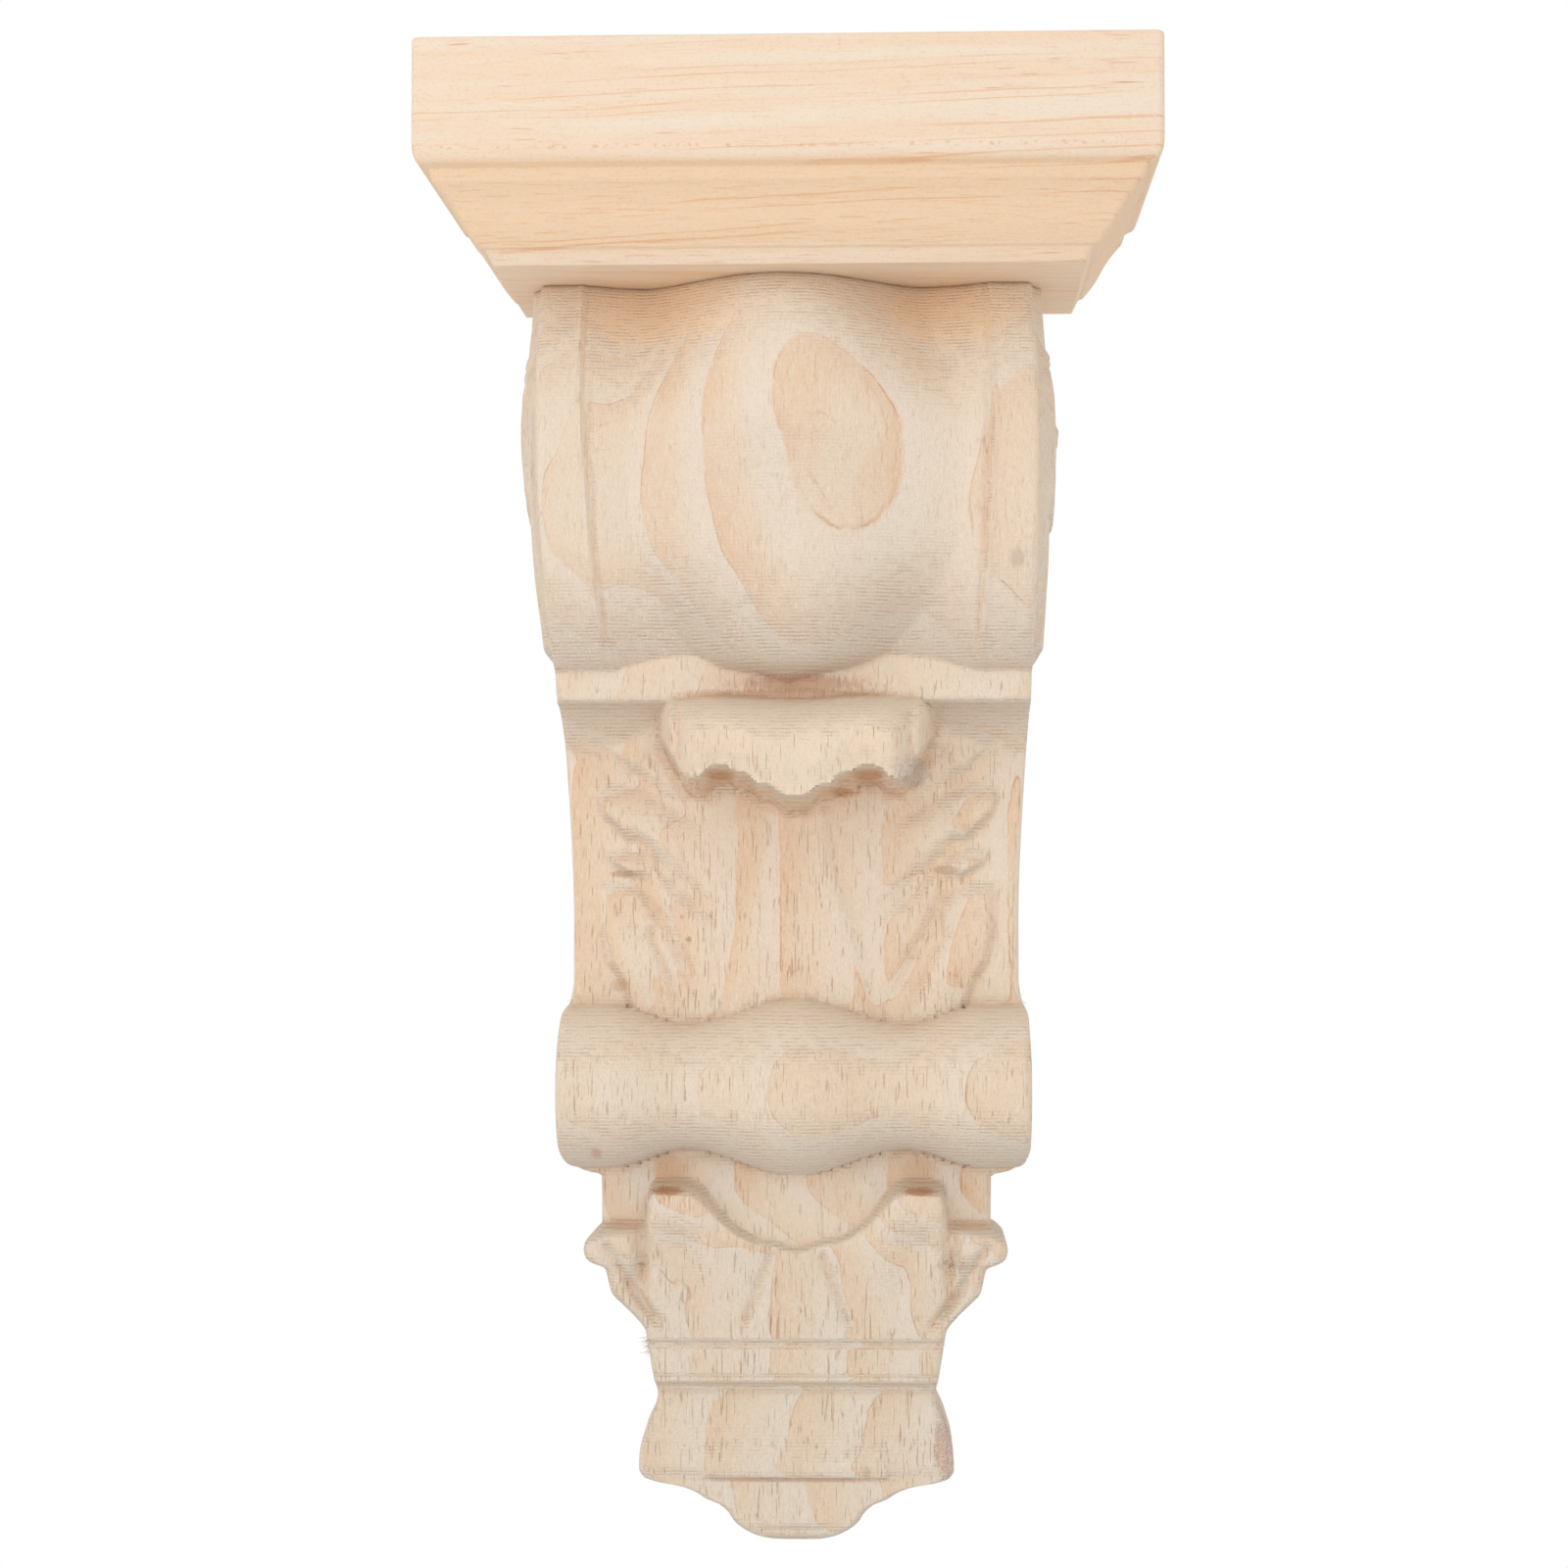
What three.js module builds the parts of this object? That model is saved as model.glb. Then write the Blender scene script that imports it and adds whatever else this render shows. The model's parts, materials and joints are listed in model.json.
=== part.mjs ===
// Countertop bracket (corbel): a carved wooden body under a moulded wooden cap.
// Millimetres, +Z up. The backs of both pieces lie in the plane y = 0, against the wall.
// The carving faces -Y, and z = 0 is the level at which the body is fixed to the wall.
import * as THREE from "three";

const { clamp, lerp, smoothstep } = THREE.MathUtils;

// Carved body, heights of its zones from the joint down
const JOINT_ABOVE_FIXING = 122.5;
const SCROLL_HEIGHT = 67.4;
const FILLET_HEIGHT = 6;
const LEAF_HEIGHT = 51.8;
const ROLL_HEIGHT = 31.2;
const CUP_HEIGHT = 29.8;
const BAND_HEIGHT = 6.7;
const FLARE_HEIGHT = 17.2;
const FINIAL_HEIGHT = 11.9;

// Carved body, half widths of its front
const SCROLL_HALF_WIDTH = 43.6;
const LEAF_HALF_WIDTH = 39.6;
const ROLL_HALF_WIDTH = 41.3;
const NECK_HALF_WIDTH = 34.6;
const CUP_HALF_WIDTH = 37.4;
const BAND_HALF_WIDTH = 26.2;
const WAIST_HALF_WIDTH = 24.6;
const FLARE_HALF_WIDTH = 27.9;
const FINIAL_HALF_WIDTH = 14.6;

// Carved body, depths from the wall to its front
const JOINT_DEPTH = 32;
const SCROLL_BULGE = 9.5;
const FILLET_DEPTH = 31;
const GROUND_DEPTH = 20;
const ROLL_DEPTH = 37;
const NECK_DEPTH = 20;
const BAND_DEPTH = 21.6;
const WAIST_DEPTH = 19.4;
const FLARE_DEPTH = 20.6;
const FINIAL_DEPTH = 19.6;
const FOOT_DEPTH = 12;
const ARRIS_RADIUS = 1.6;

// Scroll: border strips, dished ground between them and a domed lobe
const STRIP_WIDTH = 8.6;
const STRIP_SPREAD = 1.8;
const DISH_DEPTH = 5;
const LOBE_HALF_WIDTH = 29.5;
const LOBE_RISE_AT_JOINT = 11;
const LOBE_RISE_AT_TONGUE = 5;
const LOBE_SWAY = 2;
const SCROLL_LEAN = 1.2;
const SCROLL_CREST_SHARE = 0.42;

// Curled leaf tip over the cove
const TIP_HALF_WIDTH = 24.6;
const TIP_REACH = 11.5;
const TIP_HEIGHT = 19;
const TIP_OVERLAP = 2.4;
const TIP_EDGE_HEIGHT = 3;
const COVE_HEIGHT = 10;

// Acanthus leaf
const LEAF_RISE = 2;
const STEM_RISE = 1.2;
const STEM_HALF_WIDTH_TOP = 5.6;
const STEM_HALF_WIDTH_FOOT = 13.4;
const STEM_SLOPE = 3.6;

// Roll, a turned spindle with a swelling, two waists and two end bobbins
const ROLL_WAIST_CUT = 4.6;
const ROLL_END_CUT = 1.5;
const ROLL_WAIST_SHARE = 0.47;
const ROLL_END_SHARE = 0.78;
const ROLL_FLATNESS = 2.2;

// Leaf cup
const CUP_RISE = 8;
const CUP_LIP = 0.8;
const CUP_NOTCH = 2.6;
const CUP_SHOULDER_HALF_WIDTH = 32.9;

// Band, flare and finial
const QUIRK_DEPTH = 0.6;
const QUIRK_WIDTH = 1.6;
const TONGUE_STEP = 0.5;

// Volute on each side of the scroll
const VOLUTE_RADIUS = 17;
const VOLUTE_RISE = 1.1;
const SIDE_RISE = 1.9;
const SIDE_SETBACK = 4.5;

// Moulded cap
const SOFFIT_MARGIN_SIDE = 6.9;
const SOFFIT_MARGIN_FRONT = 7.5;
const MOULDING_OUT = 12.1;
const FASCIA_HEIGHT = 21.2;
const BEAD_HEIGHT = 2.6;
const BEAD_SETBACK = 3;
const COVE_MOULDING_HEIGHT = 10;
const CAP_FILLET_HEIGHT = 2.4;
const CAP_FILLET_OUT = 1;
const QUIRK_SETBACK = 0.6;
const CAP_CORNER_RADIUS = 1.2;
const NOSING_HEIGHT = 3.2;
const NOSING_SETBACK = 1.5;

// Facets
const FRONT_COLUMNS = 37;
const SIDE_SHARES = [0, 0.24, 0.44, 0.6, 0.76, 0.9];
const CORNER_FACETS = 2;

const PINE_BODY = { color: 0xe8cfb0, roughness: 0.72, metalness: 0 };
const PINE_CAP = { color: 0xeed3b0, roughness: 0.66, metalness: 0 };

// Levels of the zones
const JOINT_Z = JOINT_ABOVE_FIXING;
const FILLET_Z = JOINT_Z - SCROLL_HEIGHT;
const LEAF_Z = FILLET_Z - FILLET_HEIGHT;
const ROLL_Z = LEAF_Z - LEAF_HEIGHT;
const CUP_Z = ROLL_Z - ROLL_HEIGHT;
const BAND_Z = CUP_Z - CUP_HEIGHT;
const FLARE_Z = BAND_Z - BAND_HEIGHT;
const FINIAL_Z = FLARE_Z - FLARE_HEIGHT;
const FOOT_Z = FINIAL_Z - FINIAL_HEIGHT;

// How far down a zone a level lies, from 0 at its top to 1 at its foot
const shareDown = (z, top, height) => (top - z) / height;

// A smooth curve through [place, value] pairs that stays between them, level beyond both ends
function curveThrough(pairs, place) {
  const last = pairs.length - 1;
  const at = clamp(place, pairs[0][0], pairs[last][0]);
  const widthOf = (k) => pairs[k + 1][0] - pairs[k][0];
  const slopeOf = (k) => (pairs[k + 1][1] - pairs[k][1]) / widthOf(k);
  const tangentAt = (k) => {
    if (k === 0 || k === last) return 0;
    const [before, after] = [slopeOf(k - 1), slopeOf(k)];
    return before * after <= 0 ? 0 : (2 * before * after) / (before + after);
  };
  const next = pairs.findIndex(([from], k) => k > 0 && at <= from);
  const i = Math.max(next, 1) - 1;
  const [t, rise] = [(at - pairs[i][0]) / widthOf(i), pairs[i + 1][1] - pairs[i][1]];
  const lead = (tangentAt(i) * widthOf(i) - rise) * (1 - t);
  const trail = (tangentAt(i + 1) * widthOf(i) - rise) * t;
  return pairs[i][1] + t * rise + t * (1 - t) * (lead - trail);
}

// Places down a zone, given as [share of its height, value], set at their levels
const downZone = (top, height, pairs) => pairs.map(([share, value]) => [share * height - top, value]);

// Half width of the front at a level, zone by zone
const OUTLINE = [
  ...downZone(JOINT_Z, SCROLL_HEIGHT, [
    [0, SCROLL_HALF_WIDTH - 0.6],
    [0.36, SCROLL_HALF_WIDTH],
    [0.68, SCROLL_HALF_WIDTH - 0.5],
  ]),
  ...downZone(FILLET_Z, FILLET_HEIGHT, [
    [0, lerp(SCROLL_HALF_WIDTH, LEAF_HALF_WIDTH, 0.45)],
    [1, lerp(SCROLL_HALF_WIDTH, LEAF_HALF_WIDTH, 0.52)],
  ]),
  ...downZone(LEAF_Z, LEAF_HEIGHT, [
    [0.75, LEAF_HALF_WIDTH],
    [0.94, LEAF_HALF_WIDTH],
    [0.99, LEAF_HALF_WIDTH + 0.4],
  ]),
  ...downZone(ROLL_Z, ROLL_HEIGHT, [
    [0.1, ROLL_HALF_WIDTH - 0.3],
    [0.5, ROLL_HALF_WIDTH],
    [0.81, ROLL_HALF_WIDTH - 0.1],
    [0.91, ROLL_HALF_WIDTH - 0.9],
    [0.965, ROLL_HALF_WIDTH - 2.3],
    [0.988, ROLL_HALF_WIDTH - 4],
  ]),
  ...downZone(CUP_Z, CUP_HEIGHT, [
    [0, NECK_HALF_WIDTH],
    [0.31, NECK_HALF_WIDTH],
    [0.35, CUP_HALF_WIDTH - 1.4],
    [0.4, CUP_HALF_WIDTH - 0.2],
    [0.44, CUP_HALF_WIDTH],
    [0.49, CUP_HALF_WIDTH - 0.4],
    [0.52, CUP_HALF_WIDTH - 1.4],
    [0.55, CUP_SHOULDER_HALF_WIDTH + 0.8],
    [0.63, CUP_SHOULDER_HALF_WIDTH + 0.2],
    [0.7, CUP_SHOULDER_HALF_WIDTH - 0.3],
    [0.78, lerp(CUP_SHOULDER_HALF_WIDTH, BAND_HALF_WIDTH, 0.36)],
    [0.84, lerp(CUP_SHOULDER_HALF_WIDTH, BAND_HALF_WIDTH, 0.66)],
    [0.93, BAND_HALF_WIDTH + 0.4],
  ]),
  ...downZone(BAND_Z, BAND_HEIGHT, [[0.03, BAND_HALF_WIDTH]]),
  ...downZone(FLARE_Z, FLARE_HEIGHT, [
    [0, lerp(BAND_HALF_WIDTH, WAIST_HALF_WIDTH, 0.7)],
    [0.15, WAIST_HALF_WIDTH],
    [0.44, lerp(WAIST_HALF_WIDTH, FLARE_HALF_WIDTH, 0.55)],
    [0.76, FLARE_HALF_WIDTH - 0.1],
    [0.91, FLARE_HALF_WIDTH],
  ]),
  ...downZone(FINIAL_Z, FINIAL_HEIGHT, [
    [0, FLARE_HALF_WIDTH - 0.8],
    [0.07, lerp(FLARE_HALF_WIDTH, FINIAL_HALF_WIDTH, 0.26)],
    [0.12, lerp(FLARE_HALF_WIDTH, FINIAL_HALF_WIDTH, 0.52)],
    [0.21, lerp(FLARE_HALF_WIDTH, FINIAL_HALF_WIDTH, 0.74)],
    [0.31, FINIAL_HALF_WIDTH + 1.5],
    [0.4, 0.94 * FINIAL_HALF_WIDTH],
    [0.51, 0.83 * FINIAL_HALF_WIDTH],
    [0.66, 0.75 * FINIAL_HALF_WIDTH],
    [0.84, 0.54 * FINIAL_HALF_WIDTH],
    [1, 0.25 * FINIAL_HALF_WIDTH],
  ]),
];
const halfWidthAt = (z) => curveThrough(OUTLINE, -z);

// Sideways shift of the scroll, which leans a little where it was glued
const leanAt = (z) => -SCROLL_LEAN * clamp((z - LEAF_Z) / (JOINT_Z - LEAF_Z), 0, 1);

// Scroll, by the share of its height down from the joint
const dome = (s, squareness) => (s >= 1 ? 0 : (1 - s ** squareness) ** (1 / squareness));
const LOBE_REACH = [
  [0, 0.83],
  [0.2, 0.92],
  [0.45, 1],
  [0.65, 0.97],
  [0.8, 0.85],
  [0.92, 0.64],
  [1, 0.44],
  [1.046, 0],
];
const LOBE_FULLNESS = [
  [0, 1.6],
  [0.3, 1.35],
  [0.6, 1.25],
  [0.85, 1.1],
  [1, 0.8],
];
const DISH_SHARE = [
  [0, 1],
  [0.16, 0.72],
  [0.42, 0.32],
  [0.7, 0.4],
  [1, 0.62],
];
const FILLET_MEETS_SCROLL_SHARE = 0.8;

function scrollBulge(share) {
  const rising = Math.sin((Math.PI / 2) * clamp(share / SCROLL_CREST_SHARE, 0, 1)) ** 0.75;
  if (share < SCROLL_CREST_SHARE) return rising;
  const under = (share - SCROLL_CREST_SHARE) / (1 - SCROLL_CREST_SHARE);
  return under < 1 ? (1 - under ** 2.4) ** 0.59 : -8 * (under - 1);
}

function scrollDepth(x, z) {
  const down = shareDown(z, JOINT_Z, SCROLL_HEIGHT);
  const share = clamp(down, 0, 1);
  const strip = lerp(JOINT_DEPTH, FILLET_DEPTH, share) + SCROLL_BULGE * scrollBulge(down);
  const inner = halfWidthAt(z) - STRIP_WIDTH - STRIP_SPREAD * (share - 0.22);
  const hollow = DISH_DEPTH * curveThrough(DISH_SHARE, share);
  const dish = hollow * (1 - Math.min(Math.abs(x) / inner, 1) ** 6);
  const centre = LOBE_SWAY * (Math.sin(Math.PI * share) - 0.3);
  const reach = LOBE_HALF_WIDTH * curveThrough(LOBE_REACH, down);
  const rise = lerp(LOBE_RISE_AT_JOINT, LOBE_RISE_AT_TONGUE, smoothstep(down, 0, 0.7)) + hollow;
  const across = reach > 0 ? Math.min(Math.abs(x - centre) / reach, 1) : 1;
  const lobe = rise * (1 - across ** 2) ** curveThrough(LOBE_FULLNESS, share);
  return strip - dish + lobe;
}

// Fillet and the cove under it, down to the ground of the leaf
function groundDepth(z) {
  const share = clamp((LEAF_Z - z) / COVE_HEIGHT, 0, 1);
  return GROUND_DEPTH + (FILLET_DEPTH - GROUND_DEPTH) * (1 - Math.sqrt(1 - (1 - share) ** 2)) ** 0.8;
}

// Curled leaf tip with a scalloped lower edge, in shares of its half width and height
const TIP_EDGE = [
  [0, 0],
  [0.1, 0.02],
  [0.22, 0.1],
  [0.33, 0.2],
  [0.5, 0.28],
  [0.58, 0.26],
  [0.68, 0.17],
  [0.78, 0.19],
  [0.86, 0.36],
  [1, 0.6],
];

function tipDepth(x, z) {
  const top = LEAF_Z + TIP_OVERLAP;
  const across = Math.abs(x) / TIP_HALF_WIDTH;
  const edge = top - TIP_HEIGHT * (1 - curveThrough(TIP_EDGE, across));
  const share = clamp((top - z) / (top - edge), 0, 1);
  const over = (1 - (1 - Math.min(share / 0.62, 1)) ** 2.4) ** 0.55;
  const rollUnder = 1 - 0.14 * smoothstep(share, 0.6, 1);
  const under = smoothstep(z, edge - TIP_EDGE_HEIGHT, edge);
  const sides = 1 - 0.26 * smoothstep(across, 0.7, 0.82) - 0.74 * smoothstep(across, 0.86, 1.06);
  return GROUND_DEPTH + (FILLET_DEPTH - GROUND_DEPTH + TIP_REACH) * over * rollUnder * under * sides;
}

// Acanthus leaf, half its outline as [share of the half width, share of the zone height, softness
// in millimetres of the edge that starts there], from the stem's top down round the lobes
const LEAF_CORNERS = [
  [0, 1.12, 1],
  [0, 0.06, 1],
  [0.61, 0.06, 3],
  [0.82, 0.15, 1],
  [0.73, 0.26, 3.2],
  [0.91, 0.28, 0.9],
  [0.87, 0.37, 0.9],
  [0.77, 0.45, 0.9],
  [0.71, 0.48, 2.4],
  [0.86, 0.51, 0.8],
  [0.82, 0.55, 0.8],
  [0.66, 0.61, 2.6],
  [0.88, 0.61, 1.6],
  [0.88, 0.76, 1.2],
  [0.85, 0.87, 1],
  [0.79, 0.94, 1],
  [0.71, 1.12, 1],
].map(([across, down, softness]) => [across * LEAF_HALF_WIDTH, LEAF_Z - down * LEAF_HEIGHT, softness]);

// Distance inside the leaf's outline in steps of each edge's softness, negative outside
function insideLeaf(x, z) {
  let nearest = Infinity;
  let inside = false;
  LEAF_CORNERS.forEach(([startX, startZ, softness], i) => {
    const [endX, endZ] = LEAF_CORNERS[(i + 1) % LEAF_CORNERS.length];
    const [runX, runZ] = [endX - startX, endZ - startZ];
    const along = clamp(((x - startX) * runX + (z - startZ) * runZ) / (runX ** 2 + runZ ** 2), 0, 1);
    const away = Math.hypot(x - startX - along * runX, z - startZ - along * runZ);
    const onMiddle = startX === 0 && endX === 0;
    if (!onMiddle) nearest = Math.min(nearest, away / softness);
    if (startZ > z !== endZ > z && x < startX + ((z - startZ) * runX) / runZ) inside = !inside;
  });
  return inside ? nearest : -nearest;
}

function leafRise(x, z) {
  const side = Math.abs(x);
  const within = insideLeaf(side, z);
  const share = shareDown(z, LEAF_Z, LEAF_HEIGHT);
  const halfStem = lerp(STEM_HALF_WIDTH_TOP, STEM_HALF_WIDTH_FOOT, smoothstep(share, 0.35, 1.1));
  const stem = 1 - smoothstep(side, halfStem - STEM_SLOPE / 2, halfStem + STEM_SLOPE / 2);
  const swell = lerp(0.72, 1, smoothstep(within, 0, 5));
  return LEAF_RISE * swell * smoothstep(within, -0.4, 1) + STEM_RISE * stem;
}

// Roll
function rollDepth(x, z) {
  const along = Math.abs(x) / ROLL_HALF_WIDTH;
  const cut = curveThrough(
    [
      [0, 0],
      [ROLL_WAIST_SHARE, ROLL_WAIST_CUT],
      [ROLL_END_SHARE, ROLL_END_CUT],
    ],
    along,
  );
  const radius = ROLL_HEIGHT / 2 - cut;
  const offset = Math.abs(z - (ROLL_Z - ROLL_HEIGHT / 2)) / radius;
  return offset < 1 ? ROLL_DEPTH - ROLL_HEIGHT / 2 + radius * dome(offset, ROLL_FLATNESS) : 0;
}

// Leaf cup: its upper edge, in shares of the cup's half width and height
const CUP_EDGE = [
  [0, 0.443],
  [0.12, 0.403],
  [0.26, 0.349],
  [0.34, 0.282],
  [0.41, 0.191],
  [0.47, 0.117],
  [0.52, 0.091],
  [0.67, 0.097],
  [0.7, 0.158],
  [0.72, 0.326],
  [0.91, 0.352],
  [0.98, 0.386],
  [1.04, 0.44],
];

// Height of a rounded ridge or groove, 1 on its middle line
const ridge = (distance, width) => Math.exp(-((distance / width) ** 2));

function cupDepth(x, z) {
  const share = shareDown(z, CUP_Z, CUP_HEIGHT);
  const across = Math.abs(x) / CUP_HALF_WIDTH;
  const edge = curveThrough(CUP_EDGE, across);
  const bevel = lerp(0.04, 0.09, smoothstep(across, 0.24, 0.45));
  const inside = smoothstep(share, edge - bevel, edge + 0.02);
  const flare = (1 - clamp(share, 0, 1)) ** 1.3;
  const spread = lerp(BAND_DEPTH - NECK_DEPTH, CUP_RISE, flare * smoothstep(across, 0.08, 0.53));
  const lip = CUP_LIP * ridge(share - edge - 0.1, 0.13) * smoothstep(across, 0.32, 0.53);
  const notch = CUP_NOTCH * ridge(across - 0.73, 0.035) * (1 - smoothstep(share, 0.5, 0.85));
  return NECK_DEPTH + (spread + lip - notch) * inside;
}

// A shallow groove that runs level round the front
const quirk = (z, at) => QUIRK_DEPTH * ridge(z - at, QUIRK_WIDTH / 2);

// Depth of the band, the flare and the finial
const FOOT_PROFILE = [
  ...downZone(BAND_Z, BAND_HEIGHT, [
    [0, BAND_DEPTH],
    [0.97, BAND_DEPTH],
  ]),
  ...downZone(FLARE_Z, FLARE_HEIGHT, [
    [0.05, WAIST_DEPTH + 0.5],
    [0.3, WAIST_DEPTH],
    [0.85, FLARE_DEPTH],
  ]),
  ...downZone(FINIAL_Z, FINIAL_HEIGHT, [
    [0, FINIAL_DEPTH + 0.4],
    [0.59, FINIAL_DEPTH],
    [0.85, FINIAL_DEPTH - 1],
    [0.95, FINIAL_DEPTH - 3.4],
    [1, FOOT_DEPTH],
  ]),
];

function footDepth(x, z) {
  const tongue = 1 - smoothstep(Math.abs(x), FINIAL_HALF_WIDTH + 1, FINIAL_HALF_WIDTH + 2);
  const step = TONGUE_STEP * tongue * smoothstep(z, FINIAL_Z, FINIAL_Z + 0.5);
  return curveThrough(FOOT_PROFILE, -z) + step - quirk(z, BAND_Z) - quirk(z, FLARE_Z);
}

// Depth of the front at a place, the foremost of the forms there
function frontDepth(x, z) {
  if (z < BAND_Z) return footDepth(x, z);
  if (z < CUP_Z + 0.02) return Math.max(cupDepth(x, z), rollDepth(x, z)) - quirk(z, BAND_Z);
  if (z < ROLL_Z + 3) return Math.max(rollDepth(x, z), groundDepth(z) + leafRise(x, z));
  if (z < LEAF_Z) return Math.max(groundDepth(z) + leafRise(x, z), tipDepth(x, z));
  const nearFillet = shareDown(z, JOINT_Z, SCROLL_HEIGHT) > FILLET_MEETS_SCROLL_SHARE;
  const tip = z < LEAF_Z + TIP_OVERLAP ? tipDepth(x, z) : 0;
  return Math.max(scrollDepth(x, z), nearFillet ? FILLET_DEPTH : 0, tip);
}

// How far a side stands out beyond the front's arris, at a share of the depth
function sideRise(share, z, depth) {
  const scroll = smoothstep(z, FILLET_Z, FILLET_Z + 4);
  const back = 1 - smoothstep(share * depth, depth - SIDE_SETBACK, depth - SIDE_SETBACK / 2);
  const eyeZ = JOINT_Z - 0.4 * SCROLL_HEIGHT;
  const fromEye = Math.hypot(share * depth - 0.68 * JOINT_DEPTH, z - eyeZ);
  const volute = 1 - smoothstep(fromEye, VOLUTE_RADIUS - 3, VOLUTE_RADIUS);
  return scroll * back * (SIDE_RISE + VOLUTE_RISE * volute);
}

// One level section of the body, as [x, y] corners from the back left round the front
function sectionAt(z) {
  const half = halfWidthAt(z);
  const lean = leanAt(z);
  const left = frontDepth(-half, z) - ARRIS_RADIUS;
  const right = frontDepth(half, z) - ARRIS_RADIUS;
  const corners = SIDE_SHARES.map((s) => [lean - half - sideRise(s, z, left), -s * left]);
  for (let i = 0; i < FRONT_COLUMNS; i++) {
    const across = clamp((2 * i) / (FRONT_COLUMNS - 1) - 1, -1, 1);
    const x = half * Math.sign(across) * Math.abs(across) ** 0.96;
    const atArris = Math.abs(across) > 0.999 ? ARRIS_RADIUS : 0;
    corners.push([lean + x, -(frontDepth(x, z) - atArris)]);
  }
  const back = SIDE_SHARES.map((s) => [lean + half + sideRise(s, z, right), -s * right]);
  return corners.concat(back.reverse());
}

// Levels of the body's sections, from the foot up
function spread(from, to, count) {
  return Array.from({ length: count }, (_, i) => lerp(from, to, i / count));
}

const LEVELS = [
  ...spread(FOOT_Z, FINIAL_Z - 0.4, 9),
  ...spread(FINIAL_Z - 0.4, FLARE_Z - 0.5 * QUIRK_WIDTH, 6),
  ...spread(FLARE_Z - 0.5 * QUIRK_WIDTH, BAND_Z + 0.5 * QUIRK_WIDTH, 6),
  ...spread(BAND_Z + 0.5 * QUIRK_WIDTH, CUP_Z, 17),
  ...spread(CUP_Z, CUP_Z + 4, 4),
  ...spread(CUP_Z + 4, ROLL_Z - 4, 7),
  ...spread(ROLL_Z - 4, ROLL_Z + 0.6, 4),
  ...spread(ROLL_Z + 0.6, LEAF_Z - TIP_HEIGHT - 1, 12),
  ...spread(LEAF_Z - TIP_HEIGHT - 1, LEAF_Z - 0.3, 13),
  ...spread(LEAF_Z - 0.3, FILLET_Z + 4, 6),
  ...spread(FILLET_Z + 4, JOINT_Z - 8, 8),
  ...spread(JOINT_Z - 8, JOINT_Z, 4),
  JOINT_Z,
];

// A closed solid from level sections of equal corner counts, each given from the foot up
function loft(sections, levels) {
  const count = sections[0].length;
  const positions = sections.flatMap((s, i) => s.flatMap(([x, y]) => [x, y, levels[i]]));
  const faces = [];
  for (let i = 0; i + 1 < sections.length; i++) {
    for (let j = 0; j < count; j++) {
      const [a, b] = [i * count + j, i * count + ((j + 1) % count)];
      const [c, d] = [a + count, b + count];
      faces.push(a, b, d, a, d, c);
    }
  }
  const lid = (section, start, up) => {
    const ring = section.map(([x, y]) => new THREE.Vector2(x, y));
    for (const [a, b, c] of THREE.ShapeUtils.triangulateShape(ring, [])) {
      faces.push(...(up ? [start + a, start + b, start + c] : [start + c, start + b, start + a]));
    }
  };
  lid(sections[0], 0, false);
  lid(sections.at(-1), (sections.length - 1) * count, true);
  const geometry = new THREE.BufferGeometry();
  geometry.setAttribute("position", new THREE.Float32BufferAttribute(positions, 3));
  geometry.setIndex(faces);
  geometry.computeVertexNormals();
  return geometry;
}

function carvedBody() {
  const material = new THREE.MeshStandardMaterial(PINE_BODY);
  const mesh = new THREE.Mesh(loft(LEVELS.map(sectionAt), LEVELS), material);
  mesh.name = "carved_body";
  return mesh;
}

// Cap profile from the soffit up, as [height above the soffit, setback from the fascia]
function capProfile() {
  const coveFoot = CAP_FILLET_HEIGHT;
  const beadFoot = coveFoot + COVE_MOULDING_HEIGHT;
  const nosingFoot = beadFoot + BEAD_HEIGHT;
  const top = nosingFoot + FASCIA_HEIGHT;
  const coveOut = MOULDING_OUT - CAP_FILLET_OUT;
  const profile = [
    [0, MOULDING_OUT],
    [coveFoot, coveOut],
  ];
  for (const t of [0.04, 0.25, 0.5, 0.75, 1]) {
    const ogee = t + 0.04 * Math.sin(2 * Math.PI * t);
    const setback = lerp(coveOut - QUIRK_SETBACK, BEAD_SETBACK + QUIRK_SETBACK, ogee);
    profile.push([lerp(coveFoot, beadFoot, t), setback]);
  }
  profile.push([beadFoot + 0.3, BEAD_SETBACK], [nosingFoot - 0.4, BEAD_SETBACK - QUIRK_SETBACK]);
  profile.push([nosingFoot - 0.1, BEAD_SETBACK + 0.2]);
  for (const t of [0, 0.33, 0.67, 1]) {
    const turn = (t * Math.PI) / 2;
    profile.push([nosingFoot + NOSING_HEIGHT * (1 - Math.cos(turn)), NOSING_SETBACK * (1 - Math.sin(turn))]);
  }
  profile.push([top - 0.5 * CAP_CORNER_RADIUS, 0], [top, 0.5 * CAP_CORNER_RADIUS]);
  return profile;
}

// A level section of the cap: square at the back, rounded at the two front corners
function capSection(setback) {
  const half = SCROLL_HALF_WIDTH + SOFFIT_MARGIN_SIDE + MOULDING_OUT - setback;
  const depth = JOINT_DEPTH + LOBE_RISE_AT_JOINT + SOFFIT_MARGIN_FRONT + MOULDING_OUT - setback;
  const corner = [];
  for (let i = 0; i <= CORNER_FACETS; i++) {
    const turn = (i / CORNER_FACETS) * (Math.PI / 2);
    const [inX, inY] = [1 - Math.sin(turn), 1 - Math.cos(turn)];
    corner.push([half - CAP_CORNER_RADIUS * inX, -(depth - CAP_CORNER_RADIUS * inY)]);
  }
  const left = corner.map(([x, y]) => [-x, y]).reverse();
  return [[-half, 0], ...left, ...corner, [half, 0]];
}

function cap() {
  const profile = capProfile();
  const sections = profile.map(([, setback]) => capSection(setback));
  const levels = profile.map(([height]) => JOINT_Z + height);
  const mesh = new THREE.Mesh(loft(sections, levels), new THREE.MeshStandardMaterial(PINE_CAP));
  mesh.name = "cap";
  return mesh;
}

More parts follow.
